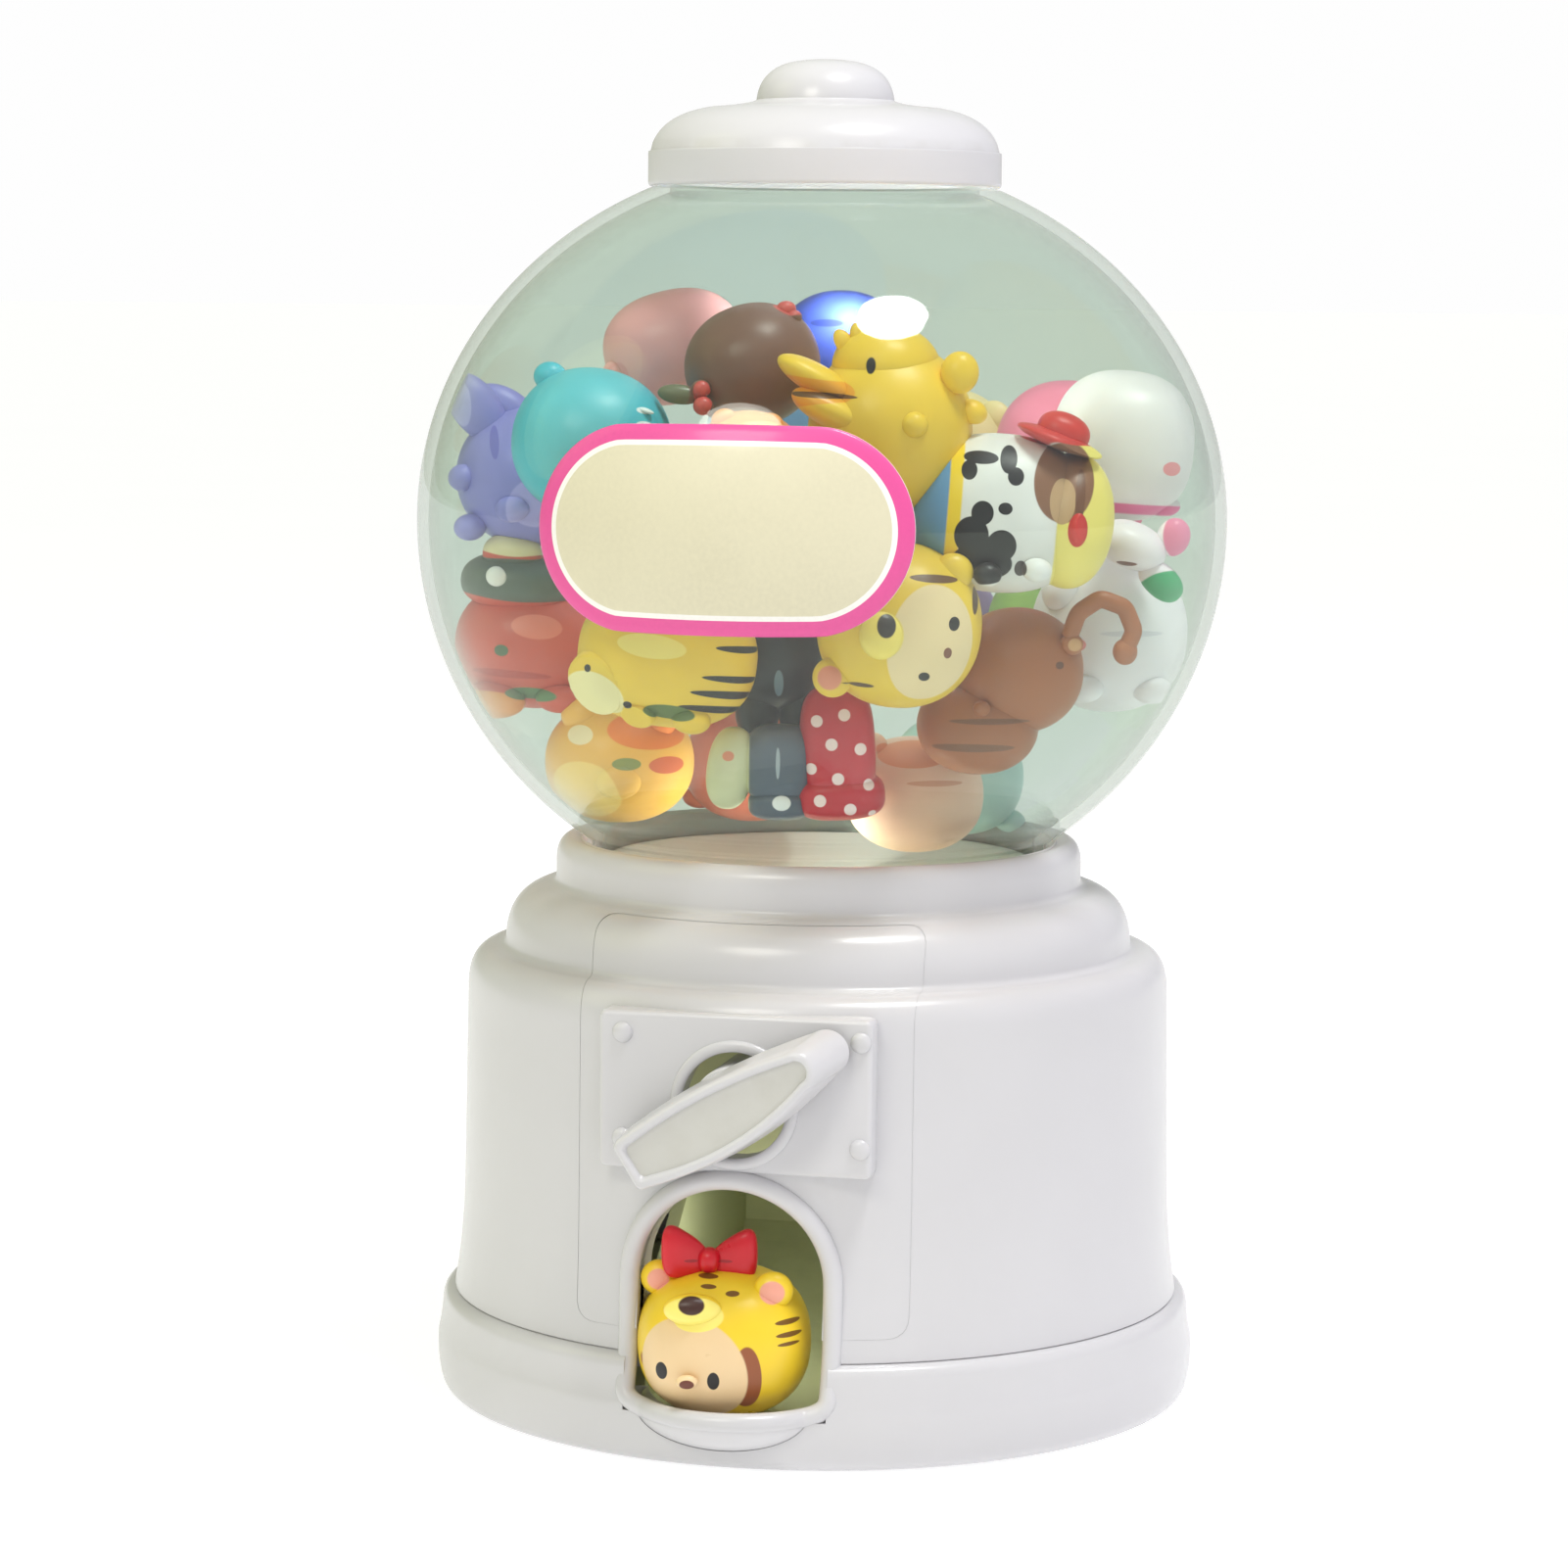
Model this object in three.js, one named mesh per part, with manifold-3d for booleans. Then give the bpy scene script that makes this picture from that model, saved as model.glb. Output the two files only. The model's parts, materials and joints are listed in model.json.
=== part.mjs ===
// Toy dispenser of the gumball-machine kind: a clear globe of small toys on a stepped white base.
// Turning the knob rolls a scoop drum under the hopper, which drops one toy down the chute.
// Millimetres, +Z up, the front faces -Y. The origin is the middle of the flat underside.
import * as THREE from "three";
import { mergeVertices } from "three/addons/utils/BufferGeometryUtils.js";
import Module from "manifold-3d";

const wasm = await Module();
wasm.setup();

// ---------- driving dimensions ----------
const GAP = 0.3; // between touching pieces
const SEGMENTS = 36; // round the big shells

const GLOBE = { radius: 42.5, middle: 92, up: 38.3, down: 41, wall: 1.2, neck: 16.9, neckTop: 131 };
const THROAT = { radius: 24.1, flange: 26, flangeTop: 52.4, bottom: 50.9 };
const LID = { rim: 18.45, wall: 1.25, bottom: 126.8, shoulder: 130.4, top: 134.9, knob: 7.2, height: 140 };
const LID_PLUG = { outer: 15.2, inner: 14, bottom: 126.6, roof: 131.4 };
const FOOT = { top: 10.5, inner: 37.7, outer: 40.3 };
const BODY = {
  foot: 38.6, waist: 37.5, shoulder: 37.1, shoulderAt: 43, tier: 33.1, tierAt: 47, collar: 27.8,
};
const COLLAR = { bottom: 53.9, top: 58.6, lip: 24.6 };
const PANEL = {
  half: 17, bottom: 13, top: 53.1, corner: 1.5, face: -37.7, pad: 13.8, padBottom: 29.4, padTop: 45.2,
};
const RIVETS = { columns: [-11.4, 12.7], rows: [32.4, 43], radius: 1.05, proud: 0.6 };
const OUTLET_X = -0.6; // the arch and the tray sit a little to the left
const ARCH = { half: 9.5, middle: 18.2, bead: 1.1 };
const TRAY = {
  rim: 5.7, middle: -32, back: -31, half: 11.2, reach: 11.6, depth: 5.2, wall: 1.4, hollow: 3.4,
};
// The panel's skin beside the arch reaches down to the tray.
const TONGUE = { bottom: 5, top: 14, inner: 35.2, outer: 37.2 };
const FRONT = { far: -60, near: -20 }; // a slab between these passes right through the front wall
const AXIS_Z = 36.2; // the knob, shaft and drum turn about this height
const HOLE = 5.45; // hole in the panel round the knob's hub
const HOPPER = {
  mouth: 11.2, mouthTop: 50, bottom: 48.4, flange: 30.4, flangeTop: 49.9, rim: 22.6, rimTop: 56.2,
};
const HOUSING = { half: 12.8, front: -13.2, rear: 13.2, wall: 1.5, bottom: 24.6, top: 48.1 };
const DRUM = { outer: 12, inner: 10.6, half: 12.4, disc: 1.5, span: 210, boss: 3.6, pin: 2.4 };
const SHAFT = { radius: 2.2, front: -41.2, rear: -12.9 };
const KNOB = {
  back: -38.7, front: -44.2, blunt: -11, tip: 13.6, faceTip: 10.7, width: 8.4, faceWidth: 7.3,
  rim: 0.8, tilt: 32,
};
const HUB = { radius: 4, rear: -27 };
const PLATE = { radius: 37.3, thickness: 1.2, notch: 6.4 }; // the notch clears the tray
const CHUTE = { half: 10.8, wall: 1.4, front: -30.6, rear: 14.6, floor: 3.7, end: 15, side: 23.6 };
const HOPPER_SCREWS = { circle: 28.5, angles: [90, 180, 270] };
const FOOT_SCREWS = { circle: 31, angles: [45, 135, 225, 315] };
const HOUSING_SCREW_X = 17.2;
const SCREW = { head: 2.4, headHeight: 1.5, shank: 1, hole: 1.4, length: 6 };
const LABEL = { turn: -1.6, half: 18.9, bottom: 82.8, top: 103.2, thickness: 0.35 };

// ---------- materials ----------
const plastic = (color, roughness = 0.28) =>
  new THREE.MeshStandardMaterial({ color, roughness, metalness: 0 });
const WHITE = plastic(0xf3f2f6);
const PALE = plastic(0xe4e4de, 0.4);
const INNER = plastic(0x9aa184, 0.5);
const CLEAR = new THREE.MeshStandardMaterial({
  color: 0xdce8e4, roughness: 0.05, metalness: 0, transparent: true, opacity: 0.25,
});
const PAPER = plastic(0xd6d0b4, 0.5);
const STEEL = new THREE.MeshStandardMaterial({ color: 0xb9bcc0, roughness: 0.35, metalness: 1 });

// ---------- solids ----------
function solidOf(geometry) {
  const bare = geometry.clone();
  bare.deleteAttribute("normal");
  bare.deleteAttribute("uv");
  const merged = mergeVertices(bare, 1e-4);
  return new wasm.Manifold(
    new wasm.Mesh({
      numProp: 3,
      vertProperties: new Float32Array(merged.attributes.position.array),
      triVerts: new Uint32Array(merged.index.array),
    }),
  );
}

function geometryOf(solid) {
  const mesh = solid.getMesh();
  const geometry = new THREE.BufferGeometry();
  geometry.setAttribute("position", new THREE.BufferAttribute(mesh.vertProperties, 3));
  geometry.setIndex(new THREE.BufferAttribute(mesh.triVerts, 1));
  return geometry;
}

const joined = (first, ...others) => others.reduce((whole, next) => whole.add(next), first);
const less = (first, ...others) => others.reduce((whole, next) => whole.subtract(next), first);

// A closed outline of [r, z] points turned about Z.
function revolved(outline, segments = SEGMENTS) {
  let area = 0;
  outline.forEach(([r, z], i) => {
    const [nextR, nextZ] = outline[(i + 1) % outline.length];
    area += r * nextZ - nextR * z;
  });
  const loop = area > 0 ? [...outline] : [...outline].reverse();
  const points = [...loop, loop[0]].map(([r, z]) => new THREE.Vector2(r, z));
  return solidOf(new THREE.LatheGeometry(points, segments).rotateX(Math.PI / 2));
}

// A filled outline that starts and ends on the axis.
function turned(outline, segments = SEGMENTS) {
  const points = outline.map(([r, z]) => new THREE.Vector2(r, z));
  return solidOf(new THREE.LatheGeometry(points, segments).rotateX(Math.PI / 2));
}

// Points of one curved stretch, the first left out because the stretch before it ends there.
function bend([r0, z0], [rc, zc], [r1, z1], steps = 4) {
  const curve = new THREE.QuadraticBezierCurve(
    new THREE.Vector2(r0, z0), new THREE.Vector2(rc, zc), new THREE.Vector2(r1, z1),
  );
  return curve.getPoints(steps).map((p) => [p.x, p.y]).slice(1);
}

function box(x0, x1, y0, y1, z0, z1) {
  const geometry = new THREE.BoxGeometry(x1 - x0, y1 - y0, z1 - z0);
  return solidOf(geometry.translate((x0 + x1) / 2, (y0 + y1) / 2, (z0 + z1) / 2));
}

function pinAlongY(radius, y0, y1, x = 0, z = AXIS_Z, segments = 20) {
  const geometry = new THREE.CylinderGeometry(radius, radius, y1 - y0, segments);
  return solidOf(geometry.translate(x, (y0 + y1) / 2, z));
}

function pinAlongZ(radius, z0, z1, x = 0, y = 0, segments = 12) {
  const geometry = new THREE.CylinderGeometry(radius, radius, z1 - z0, segments).rotateX(Math.PI / 2);
  return solidOf(geometry.translate(x, y, (z0 + z1) / 2));
}

// A shape drawn in X and Z, filled from y0 to y1.
function slabAlongY(shape, y0, y1, curveSegments = 8) {
  const geometry = new THREE.ExtrudeGeometry(shape, { depth: y1 - y0, bevelEnabled: false, curveSegments });
  return solidOf(geometry.rotateX(Math.PI / 2).translate(0, y1, 0));
}

function ellipsoid(rx, ry, rz, x, y, z, columns = 10, rows = 7) {
  const geometry = new THREE.SphereGeometry(1, columns, rows).rotateX(Math.PI / 2);
  return solidOf(geometry.scale(rx, ry, rz).translate(x, y, z));
}

function roundedShape(x0, x1, z0, z1, radius) {
  const shape = new THREE.Shape();
  shape.moveTo(x0 + radius, z0);
  shape.lineTo(x1 - radius, z0);
  shape.absarc(x1 - radius, z0 + radius, radius, -Math.PI / 2, 0);
  shape.lineTo(x1, z1 - radius);
  shape.absarc(x1 - radius, z1 - radius, radius, 0, Math.PI / 2);
  shape.lineTo(x0 + radius, z1);
  shape.absarc(x0 + radius, z1 - radius, radius, Math.PI / 2, Math.PI);
  shape.lineTo(x0, z0 + radius);
  shape.absarc(x0 + radius, z0 + radius, radius, Math.PI, 1.5 * Math.PI);
  return shape;
}

function archShape(x, half, middle, bottom) {
  const shape = new THREE.Shape();
  shape.moveTo(x - half, bottom);
  shape.lineTo(x + half, bottom);
  shape.lineTo(x + half, middle);
  shape.absarc(x, middle, half, 0, Math.PI);
  shape.lineTo(x - half, bottom);
  return shape;
}

const onCircle = (radius, degrees) => {
  const turn = THREE.MathUtils.degToRad(degrees);
  return [radius * Math.sin(turn), -radius * Math.cos(turn)];
};

// ---------- the object ----------
const machine = new THREE.Group();

function place(name, solid, material) {
  const mesh = new THREE.Mesh(geometryOf(solid), material);
  mesh.name = name;
  machine.add(mesh);
}

// Point of the globe at an angle above its middle, its wall grown or shrunk by an offset.
function globePoint(degrees, offset) {
  const turn = THREE.MathUtils.degToRad(degrees);
  const half = (turn > 0 ? GLOBE.up : GLOBE.down) + offset;
  return [(GLOBE.radius + offset) * Math.cos(turn), GLOBE.middle + half * Math.sin(turn)];
}

function globeCurve(offset, lowest, highest, steps) {
  return Array.from({ length: steps + 1 }, (_, i) =>
    globePoint(lowest + ((highest - lowest) * i) / steps, offset));
}

function globe() {
  const lowest = -THREE.MathUtils.radToDeg(Math.acos(THROAT.radius / GLOBE.radius));
  const highest = THREE.MathUtils.radToDeg(Math.acos(GLOBE.neck / GLOBE.radius));
  const outside = globeCurve(0, lowest, highest, 12);
  const inside = globeCurve(-GLOBE.wall, lowest, highest, 9).reverse();
  const throatInner = THROAT.radius - GLOBE.wall;
  const neckInner = GLOBE.neck - GLOBE.wall;
  return revolved([
    ...outside,
    [GLOBE.neck, GLOBE.neckTop], [neckInner, GLOBE.neckTop],
    [neckInner, inside[0][1]], ...inside.slice(1, -1), [throatInner, inside.at(-1)[1]],
    [throatInner, THROAT.bottom], [THROAT.flange, THROAT.bottom], [THROAT.flange, THROAT.flangeTop],
    [THROAT.radius, THROAT.flangeTop],
  ]);
}

function lid() {
  const roofEdge = LID.rim - LID.wall;
  const brow = [12.4, LID.top - 0.1];
  const knobFoot = [LID.knob, LID.top + 0.7];
  return turned([
    [0, LID_PLUG.roof], [LID_PLUG.inner, LID_PLUG.roof], [LID_PLUG.inner, LID_PLUG.bottom],
    [LID_PLUG.outer, LID_PLUG.bottom], [LID_PLUG.outer, LID_PLUG.roof],
    [roofEdge, LID_PLUG.roof], [roofEdge, LID.bottom + 0.35], [LID.rim - 0.3, LID.bottom],
    [LID.rim, LID.bottom + 0.4], [LID.rim, LID.shoulder - 0.4], [LID.rim - 0.3, LID.shoulder],
    ...bend([LID.rim - 0.3, LID.shoulder], [16.3, 133.9], brow, 3),
    [LID.knob + 0.6, LID.top + 0.2], knobFoot,
    ...bend(knobFoot, [LID.knob, LID.height - 0.6], [4.2, LID.height - 0.4], 3), [0, LID.height],
  ]);
}

// Sticker wrapped on the globe, cut to a rounded-end outline seen along its own facing direction.
function label() {
  const near = GAP;
  const far = GAP + LABEL.thickness;
  const band = revolved([
    ...globeCurve(far, -18, 24, 5), ...globeCurve(near, -18, 24, 5).reverse(),
  ]);
  const round = (LABEL.top - LABEL.bottom) / 2 - 0.05;
  const outline = roundedShape(-LABEL.half, LABEL.half, LABEL.bottom, LABEL.top, round);
  return band.intersect(slabAlongY(outline, FRONT.far, FRONT.near, 5).rotate([0, 0, LABEL.turn]));
}

// Outer skin of the stepped base, from its lower edge to the collar's top.
function bodyOutside() {
  const tierFoot = [BODY.tier + 0.2, BODY.tierAt];
  return [
    [BODY.foot, FOOT.top + GAP],
    ...bend([BODY.foot, FOOT.top + GAP], [37.8, 13.6], [BODY.waist, 17], 3),
    [BODY.shoulder, BODY.shoulderAt],
    ...bend([BODY.shoulder, BODY.shoulderAt], [BODY.shoulder, BODY.tierAt - 0.1], tierFoot, 3),
    [BODY.tier, BODY.tierAt + 0.9],
    ...bend([BODY.tier, BODY.tierAt + 0.9], [32.7, 53], [BODY.collar + 0.2, 53.7], 4),
    [BODY.collar, COLLAR.bottom + 0.3], [BODY.collar, 56],
    ...bend([BODY.collar, 56], [BODY.collar, 58.2], [26.2, COLLAR.top], 2),
  ];
}

function bodyInside() {
  return [
    [COLLAR.lip, 57.4], [COLLAR.lip, 55.6], [26.4, 55.6], [26.4, 52.2],
    ...bend([26.4, 52.2], [31.2, 52], [31.4, 48], 3),
    [31.4, 45.6], [34.6, 44.4], [35.1, 42], [35.4, 16], [36.9, FOOT.top + GAP],
  ];
}

function panelOutline(grow) {
  return roundedShape(
    -PANEL.half - grow, PANEL.half + grow, PANEL.bottom - grow, PANEL.top + grow, PANEL.corner,
  );
}

// Space round the arch and tray, from the floor up, for the panel's tongue.
function tongueRoom(spare, z0, z1) {
  const half = TRAY.half + spare;
  return box(OUTLET_X - half, OUTLET_X + half, FRONT.far, FRONT.near, z0, z1);
}

function bodyShell() {
  const opening = slabAlongY(panelOutline(GAP), FRONT.far, FRONT.near, 3);
  const tongue = tongueRoom(0.7, 0, PANEL.bottom + 1);
  let shell = less(revolved([...bodyOutside(), ...bodyInside()]), opening, tongue);
  HOPPER_SCREWS.angles.forEach((angle) => {
    const [x, y] = onCircle(HOPPER_SCREWS.circle, angle);
    const boss = pinAlongZ(2.2, HOPPER.flangeTop + GAP, 52.3, x, y, 12);
    const hole = pinAlongZ(SCREW.hole, 40, 52.1, x, y, 10);
    shell = shell.add(boss).subtract(hole);
  });
  return shell;
}

// Raised bead round the arch, bent to the case's curve.
function arcedBead() {
  const angles = Array.from({ length: 13 }, (_, i) => (Math.PI * i) / 12);
  const across = ARCH.half + 0.9;
  const skin = BODY.waist - 0.2;
  const onBody = (x, z) => new THREE.Vector3(x + OUTLET_X, -Math.sqrt(skin ** 2 - (x + OUTLET_X) ** 2), z);
  const points = [
    onBody(across, TRAY.rim - 0.6), onBody(across, 12),
    ...angles.map((a) => onBody(across * Math.cos(a), ARCH.middle + across * Math.sin(a))),
    onBody(-across, 12), onBody(-across, TRAY.rim - 0.6),
  ];
  const section = new THREE.Shape();
  section.absarc(0, 0, ARCH.bead, 0, 2 * Math.PI);
  return solidOf(new THREE.ExtrudeGeometry(section, {
    steps: 24, curveSegments: 6, bevelEnabled: false, extrudePath: new THREE.CatmullRomCurve3(points),
  }));
}

// Scoop under the arch that holds the delivered toy.
function trayOuter(grow) {
  return ellipsoid(
    TRAY.half + grow, TRAY.reach + grow, TRAY.depth + grow, OUTLET_X, TRAY.middle, TRAY.rim, 24, 10,
  );
}

function trayBowl() {
  return trayOuter(0).intersect(box(-20, 20, -50, TRAY.back, 0, TRAY.rim));
}

function trayHollow() {
  const { half, reach, wall, rim, middle, hollow } = TRAY;
  return ellipsoid(half - wall, reach - wall, hollow, OUTLET_X, middle, rim + 0.1, 24, 8);
}

function frontPanel() {
  const skin = revolved([...bodyOutside(), ...bodyInside()])
    .intersect(slabAlongY(panelOutline(0), FRONT.far, FRONT.near, 3));
  const pad = box(-PANEL.pad, PANEL.pad, PANEL.face, -34.2, PANEL.padBottom, PANEL.padTop)
    .subtract(pinAlongZ(35.3, 20, 60, 0, 0, SEGMENTS));
  const ring = pinAlongY(HOLE + 1, PANEL.face - 0.5, -36);
  const { radius, proud } = RIVETS;
  const rivets = RIVETS.columns.flatMap((x) =>
    RIVETS.rows.map((z) => ellipsoid(radius, proud, radius, x, PANEL.face, z, 8, 4)));
  const tabs = [-1, 1].flatMap((side) => [20, 40].map((z) => snapTab(side, z)));
  const way = slabAlongY(archShape(OUTLET_X, ARCH.half, ARCH.middle, TRAY.rim), FRONT.far, FRONT.near, 8);
  const { bottom, top, inner, outer } = TONGUE;
  const tongue = revolved([[inner, bottom], [outer, bottom], [outer, top], [inner + 0.2, top]])
    .intersect(tongueRoom(0, bottom, top));
  const whole = joined(skin, pad, ring, ...rivets, ...tabs, tongue, arcedBead(), trayBowl());
  return less(whole, way, pinAlongY(HOLE, FRONT.far, FRONT.near, 0, AXIS_Z, 28), trayHollow());
}

// Moulded catch that clips behind the edge of the shell's opening.
function snapTab(side, z) {
  const rib = [15.2, 16.8].map((x) => side * x).sort((a, b) => a - b);
  const catchAt = [15.2, 19.4].map((x) => side * x).sort((a, b) => a - b);
  return box(...rib, -32.6, -26.8, z - 3, z + 3).add(box(...catchAt, -28.2, -26.8, z - 3, z + 3));
}

function baseFoot() {
  const outside = [
    [39, FOOT.top], ...bend([39, FOOT.top], [39.7, 9.4], [39.7, 7.9], 2),
    ...bend([39.7, 7.9], [40, 6.4], [FOOT.outer, 2.4], 3), [39.6, 0],
  ];
  const ring = revolved([...outside, [FOOT.inner, 0], [FOOT.inner, 8], [37.2, FOOT.top]]);
  const above = tongueRoom(0.4, TRAY.rim - 0.8, 20);
  return less(ring, above, trayOuter(GAP + 0.1));
}

function bottomPlate() {
  let plate = turned([
    [0, 0], [PLATE.radius, 0], [PLATE.radius, PLATE.thickness], [0, PLATE.thickness],
  ]);
  FOOT_SCREWS.angles.forEach((angle) => {
    const [x, y] = onCircle(FOOT_SCREWS.circle, angle);
    const post = less(pinAlongZ(3.2, 1, 9, x, y), pinAlongZ(SCREW.hole, 0, 10, x, y, 12));
    plate = plate.subtract(pinAlongZ(SCREW.hole, -1, 5, x, y, 12)).add(post);
    plate = plate.subtract(pinAlongZ(SCREW.head + GAP, -1, 2.1, x, y));
  });
  const half = PLATE.notch;
  const notch = box(OUTLET_X - half, OUTLET_X + half, FRONT.far, TRAY.back + 2 * GAP, -1, 3);
  return plate.subtract(notch);
}

// Slotted screw along Z: its head starts at the origin and its shank runs up or down from it.
function screw(length, head, up) {
  const [headFrom, headTo] = up ? [0, head] : [-head, 0];
  const [shankFrom, shankTo] = up ? [head - 0.2, head + length] : [-head - length, -head + 0.2];
  const slot = box(-2, 2, -0.35, 0.35, up ? -1 : -0.6, up ? 0.6 : 1);
  const shank = pinAlongZ(SCREW.shank, shankFrom, shankTo, 0, 0, 10);
  return joined(pinAlongZ(SCREW.head, headFrom, headTo), shank).subtract(slot);
}

function hopper() {
  const shell = revolved([
    [HOPPER.mouth, HOPPER.mouthTop], [HOPPER.mouth, HOPPER.bottom], [13, HOPPER.bottom],
    [21.2, 53.6], [21.2, HOPPER.bottom], [HOPPER.flange, HOPPER.bottom],
    [HOPPER.flange, HOPPER.flangeTop], [HOPPER.rim, HOPPER.flangeTop], [HOPPER.rim, HOPPER.rimTop],
    [HOPPER.rim - 0.8, HOPPER.rimTop],
  ]);
  const sides = [-HOUSING_SCREW_X, HOUSING_SCREW_X];
  const bosses = sides.map((x) => pinAlongZ(2.4, HOPPER.bottom, 51.8, x, 0));
  const bores = sides.map((x) => pinAlongZ(SCREW.hole, 40, 50.9, x, 0, 12));
  const holes = HOPPER_SCREWS.angles.map((angle) => {
    const [x, y] = onCircle(HOPPER_SCREWS.circle, angle);
    return pinAlongZ(SCREW.hole, 40, 60, x, y, 12);
  });
  return less(joined(shell, ...bosses), ...bores, ...holes);
}

function drumHousing() {
  const { half, front, rear, wall, bottom, top } = HOUSING;
  const tube = box(-half - wall, half + wall, front - wall, rear + wall, bottom, top)
    .subtract(box(-half, half, front, rear, bottom - 1, top + 1));
  const ears = box(-20, 20, -4, 4, top - HOUSING.wall - 0.1, top)
    .subtract(box(-half - 0.2, half + 0.2, -9, 9, 20, 60));
  const holes = [-HOUSING_SCREW_X, HOUSING_SCREW_X].map((x) => pinAlongZ(SCREW.hole, 40, 60, x, 0, 12));
  return less(
    joined(tube, ears),
    pinAlongY(DRUM.boss + 0.4, front - 5, 0),
    pinAlongY(DRUM.pin + 0.4, 0, rear + 5),
    ...holes,
  );
}

// Hollow drum with one side open, so that it scoops a single toy; the open side hangs down at rest.
function dispensingDrum() {
  const halfSpan = THREE.MathUtils.degToRad(DRUM.span / 2);
  const wall = new THREE.Shape();
  const up = Math.PI / 2;
  wall.absarc(0, AXIS_Z, DRUM.outer, up - halfSpan, up + halfSpan);
  wall.absarc(0, AXIS_Z, DRUM.inner, up + halfSpan, up - halfSpan, true);
  const discs = [-1, 1].map((side) => {
    const ends = [side * DRUM.half, side * (DRUM.half - DRUM.disc)].sort((a, b) => a - b);
    return pinAlongY(DRUM.outer, ...ends, 0, AXIS_Z, 24);
  });
  const boss = pinAlongY(DRUM.boss, -16.4, -DRUM.half + 0.5);
  const pin = pinAlongY(DRUM.pin, DRUM.half - 0.5, 15.4);
  const socket = pinAlongY(SHAFT.radius + GAP, -20, SHAFT.rear + GAP);
  const bore = pinAlongY(SCREW.hole, 11.6, 20, 0, AXIS_Z, 12);
  const curved = slabAlongY(wall, -DRUM.half + 0.5, DRUM.half - 0.5, 9);
  return less(joined(curved, ...discs, boss, pin), socket, bore);
}

// Leaf-shaped grip outline along X: blunt at one end, widest in the middle, round at the other.
// Its upper side is straighter than its lower one.
function gripOutline(blunt, tip, width) {
  const lower = { end: 0.33 * width, bow: 0.69 * width };
  const upper = { end: 0.4 * width, bow: 0.54 * width };
  const round = 0.27 * width;
  const corner = 0.8;
  const shape = new THREE.Shape();
  shape.moveTo(blunt + corner, -lower.end);
  shape.quadraticCurveTo(0, -lower.bow, tip - round, -round);
  shape.absarc(tip - round, 0, round, -Math.PI / 2, Math.PI / 2);
  shape.quadraticCurveTo(0, upper.bow, blunt + corner, upper.end);
  shape.quadraticCurveTo(blunt, upper.end, blunt, upper.end - corner);
  shape.lineTo(blunt, corner - lower.end);
  shape.quadraticCurveTo(blunt, -lower.end, blunt + corner, -lower.end);
  return shape;
}

function gripSlab(outline, y0, y1) {
  return new THREE.ExtrudeGeometry(outline, { depth: y1 - y0, bevelEnabled: false, curveSegments: 5 })
    .rotateX(Math.PI / 2)
    .translate(0, y1, 0);
}

// The grip leans in from its round end and narrows towards its front face.
function taperedGrip() {
  const geometry = gripSlab(gripOutline(KNOB.blunt, KNOB.tip, KNOB.width), KNOB.front, KNOB.back);
  const shorter = (KNOB.faceTip - KNOB.blunt) / (KNOB.tip - KNOB.blunt);
  const narrower = KNOB.faceWidth / KNOB.width;
  const position = geometry.attributes.position;
  for (let i = 0; i < position.count; i += 1) {
    const forward = (KNOB.back - position.getY(i)) / (KNOB.back - KNOB.front);
    const along = THREE.MathUtils.lerp(1, shorter, forward);
    position.setX(i, KNOB.blunt + (position.getX(i) - KNOB.blunt) * along);
    position.setZ(i, position.getZ(i) * THREE.MathUtils.lerp(1, narrower, forward));
  }
  return solidOf(geometry);
}

function knob() {
  const { blunt, faceTip, faceWidth, rim } = KNOB;
  const recess = gripOutline(blunt + rim, faceTip - rim, faceWidth - 2 * rim);
  const hollow = solidOf(gripSlab(recess, KNOB.front - 1, KNOB.front + 0.5));
  const grip = less(taperedGrip(), hollow).rotate([0, -KNOB.tilt, 0]).translate([0, 0, AXIS_Z]);
  const hub = pinAlongY(HUB.radius, KNOB.back - 0.5, HUB.rear);
  return joined(grip, hub).subtract(pinAlongY(SHAFT.radius + GAP, SHAFT.front - GAP, HUB.rear + 1));
}

// Floor that carries a dropped toy forward, with side walls and a back wall.
function chuteRamp() {
  const { half, wall, front, rear, floor, end, side } = CHUTE;
  const rise = new THREE.QuadraticBezierCurve(
    new THREE.Vector2(-10, floor + 0.8), new THREE.Vector2(4, floor + 1.6), new THREE.Vector2(rear, end),
  );
  const slope = [[front, floor], ...rise.getPoints(6).map((p) => [p.x, p.y])];
  const profile = (lift, top) => {
    const shape = new THREE.Shape();
    slope.forEach(([y, z], i) => (i ? shape.lineTo(y, z + lift) : shape.moveTo(y, z + lift)));
    if (top) [[rear, top], [-11, top], [front, 9]].forEach(([y, z]) => shape.lineTo(y, z));
    else [...slope].reverse().forEach(([y, z]) => shape.lineTo(y, z));
    return shape;
  };
  const across = (shape, x0, x1) => {
    const geometry = new THREE.ExtrudeGeometry(shape, { depth: x1 - x0, bevelEnabled: false });
    return solidOf(geometry.rotateX(Math.PI / 2).rotateZ(Math.PI / 2).translate(x0, 0, 0));
  };
  const sides = [-half - wall, half].map((x) => across(profile(-wall, side), x, x + wall));
  const back = box(-half - wall, half + wall, rear - wall, rear, 13.6, side);
  return joined(across(profile(-wall), -half - wall, half + wall), ...sides, back);
}

function washer(inner, outer, y0, y1) {
  return less(pinAlongY(outer, y0, y1), pinAlongY(inner, y0 - 1, y1 + 1, 0, AXIS_Z, 16));
}

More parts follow.
